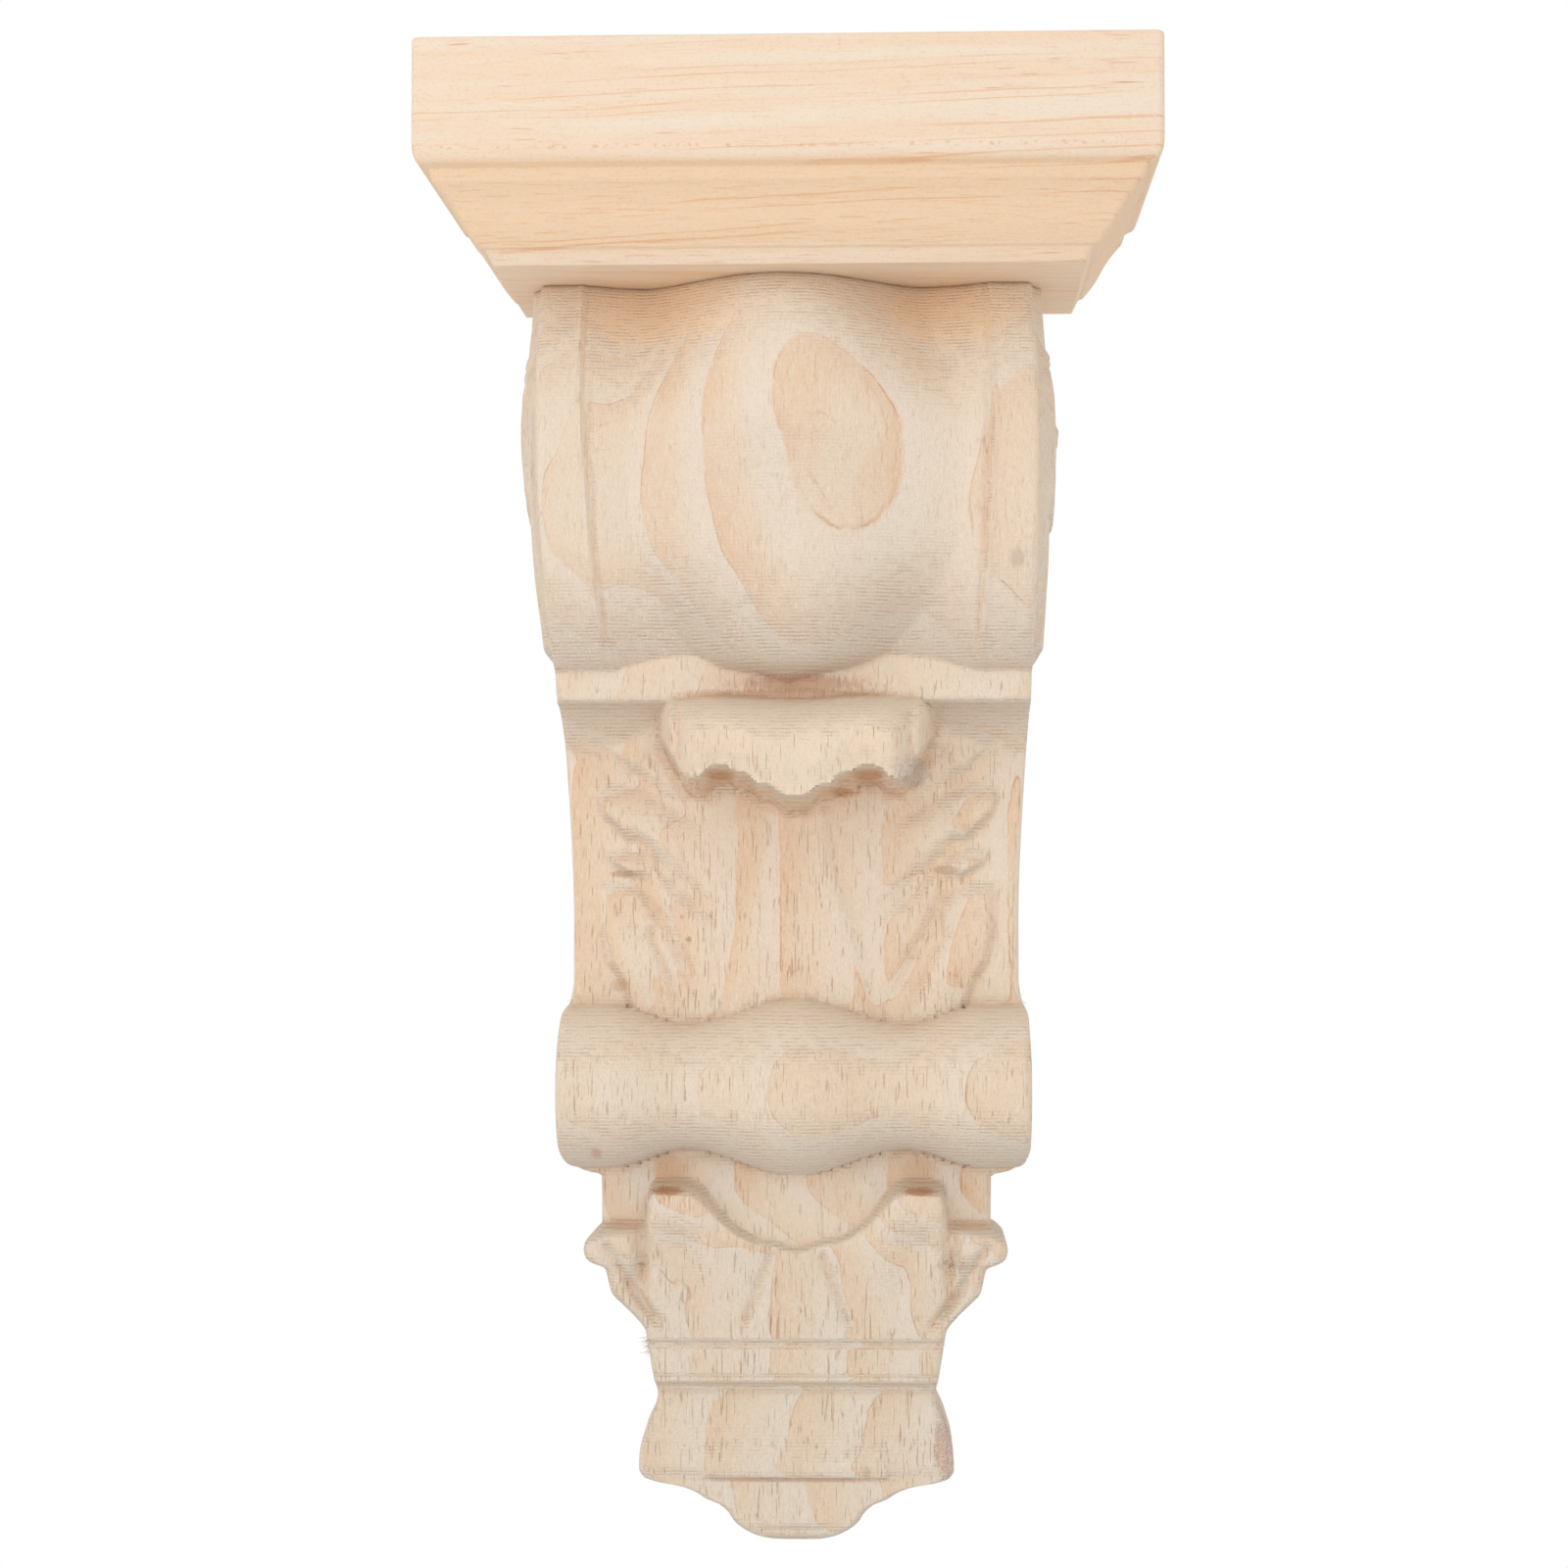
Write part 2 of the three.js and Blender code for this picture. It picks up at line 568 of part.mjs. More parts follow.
const bracket = new THREE.Group();
bracket.add(carvedBody(), cap());

export default bracket;
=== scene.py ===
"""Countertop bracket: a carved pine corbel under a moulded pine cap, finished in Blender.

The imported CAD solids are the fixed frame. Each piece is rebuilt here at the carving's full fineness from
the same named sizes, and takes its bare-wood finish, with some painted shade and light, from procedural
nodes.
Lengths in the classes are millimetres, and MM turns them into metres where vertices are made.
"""
import json
import logging
import math
from collections.abc import Sequence
from dataclasses import dataclass, field
from enum import Enum

import bpy
import numpy as np
from mathutils import Matrix, Vector

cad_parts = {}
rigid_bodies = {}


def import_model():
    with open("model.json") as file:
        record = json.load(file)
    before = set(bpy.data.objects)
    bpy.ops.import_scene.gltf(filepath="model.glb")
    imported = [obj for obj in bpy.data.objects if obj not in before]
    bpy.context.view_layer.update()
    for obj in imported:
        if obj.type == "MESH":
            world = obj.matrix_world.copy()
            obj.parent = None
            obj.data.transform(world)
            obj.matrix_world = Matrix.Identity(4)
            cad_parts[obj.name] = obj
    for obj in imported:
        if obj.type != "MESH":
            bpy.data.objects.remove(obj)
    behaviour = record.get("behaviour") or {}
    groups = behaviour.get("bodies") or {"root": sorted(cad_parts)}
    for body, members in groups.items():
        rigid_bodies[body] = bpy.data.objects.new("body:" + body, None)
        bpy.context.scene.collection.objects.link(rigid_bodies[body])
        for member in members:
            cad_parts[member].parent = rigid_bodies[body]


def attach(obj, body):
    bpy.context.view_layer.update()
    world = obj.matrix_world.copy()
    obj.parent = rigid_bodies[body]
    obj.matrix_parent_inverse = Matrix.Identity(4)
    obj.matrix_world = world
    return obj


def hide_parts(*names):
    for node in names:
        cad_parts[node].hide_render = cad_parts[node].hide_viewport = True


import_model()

LOG = logging.getLogger("bracket")
MM = 0.001
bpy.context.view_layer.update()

Point = tuple[float, float]
Pairs = Sequence[Point]
Colour = tuple[float, float, float]
# Attribute of how deep the carving is hollowed; the finish darkens it as painted shade, and cutter marks and
# torn fibres gather on it.
HOLLOW = "Hollow"
TUFT = "Tuft"


# Numeric helpers


def lerp(a, b, t):
    """Value between a and b at share t.

    Args:
        a: Value at 0.
        b: Value at 1.
        t: Share, a number or an array.

    Returns:
        The value, of t's shape.
    """
    return a + (b - a) * t


def smoothstep(x, low: float, high: float):
    """Smooth step from 0 at low to 1 at high.

    Args:
        x: Number or array.
        low: Where the step starts.
        high: Where it ends.

    Returns:
        Values from 0 to 1 in x's shape.
    """
    t = np.clip((x - low) / (high - low), 0.0, 1.0)
    return t * t * (3.0 - 2.0 * t)


def curve_through(pairs: Pairs, place):
    """Monotone cubic curve through (place, value) pairs, level beyond both ends.

    Args:
        pairs: Points in rising order of place.
        place: Number or array to read the curve at.

    Returns:
        The curve's values in place's shape.
    """
    at = np.asarray(place, dtype=float)
    places, values = (np.array(column, dtype=float) for column in zip(*pairs))
    slopes = np.diff(values) / np.diff(places)
    before, after = slopes[:-1], slopes[1:]
    turning = before * after <= 0.0
    inner = np.where(turning, 0.0, 2.0 * before * after / np.where(turning, 1.0, before + after))
    tangents = np.concatenate([[0.0], inner, [0.0]])
    at = np.clip(at, places[0], places[-1])
    i = np.clip(np.searchsorted(places, at) - 1, 0, len(slopes) - 1)
    width = places[i + 1] - places[i]
    t = (at - places[i]) / width
    rise = values[i + 1] - values[i]
    bend = (tangents[i] * width - rise) * (1.0 - t) - (tangents[i + 1] * width - rise) * t
    return values[i] + t * rise + t * (1.0 - t) * bend


def dome(s, squareness: float):
    """Superelliptic dome, 1 at s = 0 and 0 from s = 1 on.

    Args:
        s: Distance from the middle over the reach.
        squareness: 2 for an ellipse, more for a flatter top.

    Returns:
        Height from 0 to 1 in s's shape.
    """
    inside = 1.0 - np.clip(np.abs(s), 0.0, 1.0) ** squareness
    return inside ** (1.0 / squareness)


def ridge(distance, width: float):
    """Rounded ridge or groove section.

    Args:
        distance: Distance from its middle line.
        width: Distance at which it has fallen to about a third.

    Returns:
        Height from 0 to 1 in distance's shape.
    """
    return np.exp(-((distance / width) ** 2))


def stroke(x, z, start: Point, end: Point):
    """Distance from a straight stroke, and how far along it the nearest point lies.

    Args:
        x: Places across, an array.
        z: Levels, an array of the same shape.
        start: First end of the stroke.
        end: Second end of the stroke.

    Returns:
        Two arrays: the distance, and the share along the stroke.
    """
    run_x, run_z = end[0] - start[0], end[1] - start[1]
    along = ((x - start[0]) * run_x + (z - start[1]) * run_z) / (run_x**2 + run_z**2)
    along = np.clip(along, 0.0, 1.0)
    return np.hypot(x - start[0] - along * run_x, z - start[1] - along * run_z), along


# Meshes


def closed_loft(name: str, sections: np.ndarray) -> bpy.types.Object:
    """Makes one closed object from level sections, the lowest first.

    Args:
        name: Name of the object and its mesh.
        sections: Array of rows by corners by 3, in millimetres, each section counter-clockwise from above.

    Returns:
        The object, at the origin, smooth shaded, with its faces outward.
    """
    rows, count, _ = sections.shape
    quads = []
    for i in range(rows - 1):
        base = i * count
        here = np.arange(count)
        after = (here + 1) % count
        quads.append(np.stack([base + here, base + after, base + count + after, base + count + here], 1))
    faces = [tuple(q) for q in np.concatenate(quads).tolist()]
    faces.append(tuple(reversed(range(count))))
    faces.append(tuple(range((rows - 1) * count, rows * count)))
    mesh = bpy.data.meshes.new(name)
    mesh.from_pydata((sections.reshape(-1, 3) * MM).tolist(), [], faces)
    mesh.update()
    mesh.shade_smooth()
    piece = bpy.data.objects.new(name, mesh)
    bpy.context.scene.collection.objects.link(piece)
    return piece


def sharpen(piece: bpy.types.Object, degrees: float) -> None:
    """Marks edges over an angle as sharp, so that flat faces shade flat.

    Args:
        piece: The object.
        degrees: Smallest angle between two faces that is marked.
    """
    piece.data.set_sharp_from_angle(angle=math.radians(degrees))


@dataclass(frozen=True)
class Zones:
    """Levels of the body's zones in millimetres, from the joint down."""

    joint: float = 122.5
    scroll: float = 67.4
    fillet: float = 6.0
    leaf: float = 51.8
    roll: float = 31.2
    cup: float = 29.8
    band: float = 6.7
    flare: float = 17.2
    finial: float = 11.9

    @property
    def fillet_z(self) -> float:
        """Level of the scroll's foot."""
        return self.joint - self.scroll

    @property
    def leaf_z(self) -> float:
        """Level of the fillet's foot."""
        return self.fillet_z - self.fillet

    @property
    def roll_z(self) -> float:
        """Level of the roll's top."""
        return self.leaf_z - self.leaf

    @property
    def cup_z(self) -> float:
        """Level of the roll's foot."""
        return self.roll_z - self.roll

    @property
    def band_z(self) -> float:
        """Level of the leaf cup's foot."""
        return self.cup_z - self.cup

    @property
    def flare_z(self) -> float:
        """Level of the band's foot."""
        return self.band_z - self.band

    @property
    def finial_z(self) -> float:
        """Level of the flare's foot."""
        return self.flare_z - self.flare

    @property
    def foot_z(self) -> float:
        """Lowest level of the body."""
        return self.finial_z - self.finial


@dataclass(frozen=True)
class Widths:
    """Half widths of the body's front in millimetres."""

    scroll: float = 43.6
    leaf: float = 39.6
    roll: float = 41.3
    neck: float = 34.6
    cup: float = 37.4
    cup_shoulder: float = 32.9
    band: float = 26.2
    waist: float = 24.6
    flare: float = 27.9
    finial: float = 14.6


@dataclass(frozen=True)
class Depths:
    """Depths from the wall to the body's front in millimetres."""

    joint: float = 32.0
    bulge: float = 9.5
    fillet: float = 31.0
    ground: float = 20.0
    roll: float = 37.0
    neck: float = 20.0
    band: float = 21.6
    waist: float = 19.4
    flare: float = 20.6
    finial: float = 19.6
    foot: float = 12.0
    arris: float = 1.6


@dataclass(frozen=True)
class LeafOutline:
    """Half outline of the acanthus leaf, from its foot up the middle and down round its lobes."""

    corners: tuple[tuple[float, float, float], ...] = (
        (0.0, -9.0, 1.0),
        (0.0, 46.0, 1.0),
        (24.0, 46.0, 3.0),
        (32.6, 41.3, 1.0),
        (28.9, 35.7, 3.2),
        (35.9, 34.4, 0.9),
        (34.5, 29.8, 0.9),
        (30.4, 25.6, 0.9),
        (28.0, 24.2, 2.4),
        (34.2, 22.8, 0.8),
        (32.4, 20.6, 0.8),
        (26.3, 17.3, 2.6),
        (35.0, 17.4, 1.6),
        (35.0, 9.9, 1.2),
        (33.6, 3.8, 1.0),
        (31.4, 0.6, 1.0),
        (28.0, -9.0, 1.0),
    )

    def depth_inside(self, x, z):
        """Distance inside the outline in units of each edge's softness, negative outside it.

        Args:
            x: Places across from the middle line, an array.
            z: Levels, an array of the same shape.

        Returns:
            Signed distances in the same shape.
        """
        nearest = np.full(x.shape, np.inf)
        inside = np.zeros(x.shape, dtype=bool)
        for start, end in zip(self.corners, self.corners[1:] + self.corners[:1]):
            if start[0] or end[0]:
                nearest = np.minimum(nearest, stroke(x, z, start[:2], end[:2])[0] / start[2])
            if start[1] != end[1]:
                crosses = (start[1] > z) != (end[1] > z)
                at = start[0] + (z - start[1]) * (end[0] - start[0]) / (end[1] - start[1])
                inside ^= crosses & (x < at)
        return np.where(inside, nearest, -nearest)


@dataclass(frozen=True)
class Groove:
    """One straight soft groove cut in a leaf."""

    start: Point
    end: Point
    depth: float
    width: float

    def cut(self, x, z):
        """Depth of the groove, fading out at its far end.

        Args:
            x: Places across from the middle line, an array.
            z: Levels, an array of the same shape.

        Returns:
            Depths in the same shape.
        """
        away, along = stroke(x, z, self.start, self.end)
        return self.depth * ridge(away, self.width) * (1.0 - smoothstep(along, 0.55, 1.0))


@dataclass
class CarvedBody:
    """The carved block: scroll, leaf, roll, leaf cup, band, flare and finial, cut in one piece."""

    zones: Zones = field(default_factory=Zones)
    widths: Widths = field(default_factory=Widths)
    depths: Depths = field(default_factory=Depths)
    strip: float = 8.6
    dish: float = 5.0
    lobe_outline: Pairs = (
        (0.0, 24.5),
        (0.2, 27.0),
        (0.45, 29.5),
        (0.65, 28.5),
        (0.8, 25.0),
        (0.92, 19.0),
        (1.0, 13.0),
        (1.046, 0.0),
    )
    lobe_rise_joint: float = 11.0
    lobe_rise_tongue: float = 5.0
    fillet_meets_scroll: float = 0.8
    lean: float = 1.2
    crest: float = 0.42
    tip_half_width: float = 24.6
    tip_reach: float = 11.5
    tip_height: float = 19.0
    tip_overlap: float = 2.4
    tip_edge: float = 3.0
    tip_flute: float = 0.3
    tip_flute_pitch: float = 11.0
    tip_scallops: Pairs = (
        (0.0, 0.0),
        (0.1, 0.02),
        (0.19, 0.1),
        (0.25, 0.11),
        (0.33, 0.2),
        (0.42, 0.23),
        (0.5, 0.28),
        (0.57, 0.27),
        (0.64, 0.19),
        (0.72, 0.16),
        (0.8, 0.22),
        (0.86, 0.36),
        (1.0, 0.6),
    )
    cove: float = 10.0
    leaf_rise: float = 2.0
    stem_rise: float = 1.2
    roll_waist_cut: float = 4.6
    roll_end_cut: float = 1.5
    cup_rise: float = 6.0
    quirk_depth: float = 0.6
    quirk_width: float = 1.3
    tongue_step: float = 0.65
    side_rise: float = 1.9
    side_setback: float = 4.5
    volute_radius: float = 17.0
    volute_rise: float = 1.1
    volute_turns: float = 2.2
    tuft_spots: tuple[tuple[float, float, float], ...] = (
        (-26.4, -64.0, 1.3),
        (20.7, 37.0, 2.8),
        (-17.5, 35.5, 1.5),
    )
    front_columns: int = 171
    edge_columns: int = 7
    side_columns: int = 14
    leaf_outline: LeafOutline = LeafOutline()
    leaf_grooves: tuple[Groove, ...] = (
        Groove((28.9, 35.7), (15.0, 27.0), 1.1, 2.2),
        Groove((28.4, 24.0), (12.0, 10.0), 1.3, 2.0),
        Groove((27.4, 18.0), (15.5, -6.0), 1.5, 1.5),
        Groove((25.6, 9.0), (19.4, -6.0), 1.0, 1.1),
        Groove((33.0, 31.0), (18.0, 22.0), -0.5, 2.2),
        Groove((32.0, 10.0), (25.0, -4.0), -0.6, 2.4),
    )

    def outline(self) -> Pairs:
        """Half width of the front from the joint down, as (depth under the joint, half width)."""
        w = self.widths
        return [
            (0.0, w.scroll - 0.6),
            (24.0, w.scroll),
            (46.0, w.scroll - 0.5),
            (67.4, w.scroll - 1.8),
            (73.4, w.scroll - 2.1),
            (112.0, w.leaf),
            (122.0, w.leaf),
            (125.0, w.leaf + 0.4),
            (128.4, w.roll - 0.3),
            (141.0, w.roll),
            (150.4, w.roll - 0.1),
            (153.6, w.roll - 0.9),
            (155.2, w.roll - 2.3),
            (156.0, w.roll - 4.0),
            (156.6, w.neck),
            (165.6, w.neck - 0.1),
            (166.8, w.cup - 1.4),
            (168.2, w.cup - 0.2),
            (169.6, w.cup),
            (171.0, w.cup - 0.4),
            (171.8, w.cup - 1.4),
            (172.8, w.cup_shoulder + 0.8),
            (175.2, w.cup_shoulder + 0.2),
            (177.2, w.cup_shoulder - 0.3),
            (179.5, w.cup_shoulder - 2.4),
            (181.5, w.cup_shoulder - 4.4),
            (184.1, w.band + 0.4),
            (186.4, w.band),
            (193.0, w.waist + 0.5),
            (195.4, w.waist),
            (200.4, w.flare - 1.5),
            (206.0, w.flare - 0.1),
            (208.5, w.flare),
            (210.0, w.flare - 0.8),
            (210.9, w.flare - 3.4),
            (211.5, w.finial + 6.4),
            (212.6, w.finial + 3.4),
            (213.8, w.finial + 1.5),
            (214.8, w.finial - 0.9),
            (216.2, w.finial - 2.5),
            (218.0, w.finial - 3.7),
            (220.1, w.finial - 6.7),
            (221.2, w.finial - 9.6),
            (222.0, w.finial - 13.0),
        ]

    def half_width(self, z):
        """Half width of the front at a level.

        Args:
            z: Levels, an array.

        Returns:
            Half widths in z's shape.
        """
        return curve_through(self.outline(), self.zones.joint - z)

    def scroll_depth(self, x, z):
        """Depth of the scroll: border strips, dished ground and domed lobe.

        Args:
            x: Places across, an array.
            z: Levels, an array of the same shape.

        Returns:
            Depths from the wall in the same shape.
        """
        raw = (self.zones.joint - z) / self.zones.scroll
        share = np.clip(raw, 0.0, 1.0)
        rising = np.sin(0.5 * np.pi * np.clip(raw / self.crest, 0.0, 1.0)) ** 0.75
        under = (raw - self.crest) / (1.0 - self.crest)
        falling = np.where(
            under < 1.0,
            np.clip(1.0 - np.clip(under, 0.0, 1.0) ** 2.4, 0.0, 1.0) ** 0.59,
            -8.0 * (under - 1.0),
        )
        bulge = np.where(raw < self.crest, rising, falling)
        strip = lerp(self.depths.joint, self.depths.fillet, share) + self.depths.bulge * bulge
        inner = self.half_width(z) - lerp(self.strip - 0.4, self.strip + 1.4, share)
        across = np.abs(x) / inner
        hollow = curve_through([(0.0, 1.0), (0.16, 0.72), (0.42, 0.32), (0.7, 0.4), (1.0, 0.62)], share)
        dish = self.dish * hollow * np.clip(1.0 - across**6, 0.0, 1.0)
        centre = 2.0 * np.sin(np.pi * share) - 0.6
        reach = curve_through(self.lobe_outline, raw)
        rise = lerp(self.lobe_rise_joint, self.lobe_rise_tongue, smoothstep(raw, 0.0, 0.7))
        rise = rise + self.dish * hollow
        across_lobe = np.clip(np.abs(x - centre) / np.maximum(reach, 0.5), 0.0, 1.0)
        fullness = curve_through([(0.0, 1.6), (0.3, 1.35), (0.6, 1.45), (0.85, 1.4), (1.0, 1.1)], share)
        lobe = rise * (1.0 - across_lobe**2) ** fullness * smoothstep(reach, 0.4, 2.0)
        bead = 0.5 * ridge(np.abs(x) - inner - 0.9, 0.6) - 0.75 * ridge(np.abs(x) - inner, 0.5)
        return strip - dish + lobe + bead * (1.0 - smoothstep(raw, 0.9, 1.0))

    def ground_depth(self, z):
        """Depth of the leaf's ground, with the cove under the fillet.

        Args:
            z: Levels, an array.

        Returns:
            Depths from the wall in z's shape.
        """
        share = np.clip((self.zones.leaf_z - z) / self.cove, 0.0, 1.0)
        fall = (1.0 - np.sqrt(1.0 - (1.0 - share) ** 2)) ** 0.8
        return self.depths.ground + (self.depths.fillet - 0.9 - self.depths.ground) * fall

    def tip_depth(self, x, z):
        """Depth of the curled leaf tip with its scalloped lower edge.

        Args:
            x: Places across, an array.
            z: Levels, an array of the same shape.

        Returns:
            Depths from the wall in the same shape.
        """
        top = self.zones.leaf_z + self.tip_overlap
        across = np.abs(x - 0.4) / self.tip_half_width
        edge = top - self.tip_height * (1.0 - curve_through(self.tip_scallops, across))
        share = np.clip((top - z) / (top - edge), 0.0, 1.0)
        over = np.clip(1.0 - (1.0 - np.minimum(share / 0.62, 1.0)) ** 2.4, 0.0, 1.0) ** 0.55
        roll_under = 1.0 - 0.03 * smoothstep(share, 0.7, 1.0)
        flutes = np.cos(2.0 * np.pi * (x + 5.6) / self.tip_flute_pitch)
        flutes = self.tip_flute * flutes * smoothstep(share, 0.3, 0.6)
        flutes = flutes - 1.6 * ridge(np.abs(x - 0.4) - 20.2, 1.2) * smoothstep(share, 0.1, 0.4)
        under = np.clip((z - edge + self.tip_edge) / self.tip_edge, 0.0, 1.0) ** 1.4
        sides = 1.0 - 0.18 * smoothstep(across, 0.66, 0.86) - 0.82 * smoothstep(across, 0.84, 1.06)
        stand = self.depths.fillet - self.depths.ground + self.tip_reach
        return self.depths.ground + (stand * over * roll_under + flutes) * under * sides

    def leaf_relief(self, x, z):
        """Relief of the acanthus leaf over its ground.

        Args:
            x: Places across, an array.
            z: Levels, an array of the same shape.

        Returns:
            Heights over the ground in the same shape.
        """
        side = np.abs(x - 0.3)
        within = self.leaf_outline.depth_inside(side, z)
        down = (self.zones.leaf_z - z) / self.zones.leaf
        half_stem = lerp(5.6, 13.4, smoothstep(down, 0.35, 1.1))
        stem = 1.0 - smoothstep(side, half_stem - 2.2, half_stem + 1.4)
        swell = lerp(0.72, 1.0, smoothstep(within, 0.0, 5.0))
        relief = self.leaf_rise * smoothstep(within, -0.4, 1.0) * swell
        cuts = sum(groove.cut(side, z) for groove in self.leaf_grooves)
        return relief + self.stem_rise * stem - cuts * smoothstep(within, -0.2, 0.8)

    def roll_depth(self, x, z):
        """Depth of the roll, a spindle with a swelling, two waists and two end bobbins.

        Args:
            x: Places across, an array.
            z: Levels, an array of the same shape.

        Returns:
            Depths from the wall in the same shape, 0 off the roll.
        """
        along = np.abs(x) / self.widths.roll
        cut = curve_through([(0.0, 0.0), (0.47, self.roll_waist_cut), (0.78, self.roll_end_cut)], along)
        radius = 0.5 * self.zones.roll - cut
        offset = np.abs(z - (self.zones.roll_z - 0.5 * self.zones.roll)) / radius
        depth = self.depths.roll - 0.5 * self.zones.roll + radius * dome(offset, 2.2)
        return np.where(offset < 1.0, depth, 0.0)

    def cup_depth(self, x, z):
        """Depth of the neck and of the leaf cup that stands in front of it.

        Args:
            x: Places across, an array.
            z: Levels, an array of the same shape.

        Returns:
            Depths from the wall in the same shape.
        """
        rim = [(0.0, -47.1), (2.2, -46.6), (4.6, -45.9), (7.0, -45.5), (9.6, -44.3), (12.6, -42.3)]
        rim += [(15.2, -39.6), (17.4, -37.4), (19.4, -36.6), (25.0, -36.8), (26.2, -38.6), (26.8, -43.6)]
        rim += [(30.0, -43.9), (34.0, -44.4), (36.6, -45.4), (39.0, -47.0)]
        side = np.abs(x - 0.2)
        edge = curve_through(rim, side)
        inside = 1.0 - smoothstep(z, edge - 0.5, edge + lerp(0.5, 2.2, smoothstep(side, 9.0, 17.0)))
        down = np.clip((self.zones.cup_z - z) / self.zones.cup, 0.0, 1.0)
        flare = (1.0 - down) ** 1.3
        reach = smoothstep(side, 3.0, 20.0)
        rise = lerp(self.depths.band - self.depths.neck, self.cup_rise, flare * reach)
        rise = rise + 0.8 * ridge(z - edge + 3.0, 4.0) * smoothstep(side, 12.0, 20.0)
        notch = 2.6 * ridge(side - 27.3, 1.3) * (1.0 - smoothstep(down, 0.5, 0.85))
        veins = 0.0
        for start, end, depth in (
            ((4.6, -48.4), (9.8, -61.6), 0.8),
            ((33.4, -46.6), (24.0, -61.5), 0.9),
            ((30.0, -53.0), (22.5, -62.0), 0.6),
        ):
            away, along = stroke(side, z, start, end)
            veins = veins + depth * ridge(away, 0.9) * smoothstep(1.0 - along, 0.0, 0.2)
        away, along = stroke(side, z, (22.4, -42.0), (16.0, -60.4))
        ends = smoothstep(1.0 - along, 0.0, 0.4) * smoothstep(along, 0.0, 0.3)
        veins = veins + 0.9 * ridge(away, 3.0) * ends
        return self.depths.neck + (rise - notch - veins) * inside

    def quirk(self, z, level: float):
        """Depth of a shallow groove that runs level round the front."""
        return self.quirk_depth * ridge(z - level, 0.5 * self.quirk_width)

    def foot_depth(self, x, z):
        """Depth of the band, the flare and the finial.

        Args:
            x: Places across, an array.
            z: Levels, an array of the same shape.

        Returns:
            Depths from the wall in the same shape.
        """
        d, s = self.depths, self.zones
        profile = curve_through(
            [
                (-s.band_z, d.band),
                (-s.flare_z - 0.2, d.band),
                (-s.flare_z + 0.9, d.waist + 0.5),
                (-s.flare_z + 5.2, d.waist),
                (-s.flare_z + 14.6, d.flare),
                (-s.finial_z, d.finial + 0.4),
                (-s.finial_z + 7.0, d.finial),
                (-s.foot_z - 1.8, d.finial - 1.0),
                (-s.foot_z - 0.6, d.finial - 3.4),
                (-s.foot_z, d.foot),
            ],
            -z,
        )
        tongue = 1.0 - smoothstep(np.abs(x), 15.6, 16.6)
        step = self.tongue_step * tongue * smoothstep(z, s.finial_z + 0.1, s.finial_z + 0.5)
        step = step * (1.0 - smoothstep(z, s.finial_z + 0.8, s.finial_z + 7.0))
        line = 0.35 * ridge(z + 96.6, 0.4) * (1.0 - smoothstep(np.abs(x + 0.5), 5.0, 6.5))
        return profile + step - line

    def front_depth(self, x, z):
        """Depth of the front, the foremost of the forms at each place.

        Args:
            x: Places across, an array.
            z: Levels, an array of the same shape.

        Returns:
            Depths from the wall in the same shape.
        """
        s = self.zones
        eased = self.depths.fillet - 0.9 * (1.0 - smoothstep(z, s.leaf_z - 0.2, s.leaf_z + 1.3)) ** 2
        by_fillet = z < s.joint - self.fillet_meets_scroll * s.scroll
        scroll = np.maximum(np.where(by_fillet, eased, 0.0), self.scroll_depth(x, z))
        leaf = self.ground_depth(z) + self.leaf_relief(x, z)
        leaf = np.maximum(leaf, self.tip_depth(x, z))
        roll = self.roll_depth(x, z)
        tip = np.where(z < s.leaf_z + self.tip_overlap, leaf, 0)
        depth = np.where(z < s.leaf_z, leaf, np.maximum(scroll, tip))
        depth = np.where(z < s.roll_z + 4.0, np.maximum(roll, depth), depth)
        depth = np.where(z < s.cup_z + 9.0, np.maximum(roll, self.cup_depth(x, z)), depth)
        depth = np.where(z < s.band_z, self.foot_depth(x, z), depth)
        fine = 0.35 * ridge(z - s.flare_z - 0.9, 0.35) + 0.35 * ridge(z - s.flare_z + 1.9, 0.4)
        return depth - self.quirk(z, s.band_z) - 0.6 * self.quirk(z, s.flare_z) - fine

    def side_relief(self, depth, z, front):
        """How far a side stands out beyond the arris of the front.

        Args:
            depth: Depths from the wall on the side, an array.
            z: Levels, an array of the same shape.
            front: Depth of the arris at each level, of the same shape.

        Returns:
            Heights over the side's plane in the same shape.
        """
        scroll = smoothstep(z, self.zones.fillet_z, self.zones.fillet_z + 4.0)
        back = 1.0 - smoothstep(depth, front - self.side_setback, front - 0.6 * self.side_setback)
        across, up = depth - 0.68 * self.depths.joint, z - (self.zones.joint - 0.4 * self.zones.scroll)
        radius = np.hypot(across, up)
        disc = 1.0 - smoothstep(radius, self.volute_radius - 1.6, self.volute_radius)
        turn = np.arctan2(up, across) / (2.0 * np.pi) + self.volute_turns * radius / self.volute_radius
        spiral = 0.9 * ridge((turn - np.round(turn)) * self.volute_radius / self.volute_turns, 1.3)
        eye = 1.0 * (1.0 - smoothstep(radius, 2.6, 3.6))
        return scroll * back * (self.side_rise + disc * (self.volute_rise - spiral + eye))

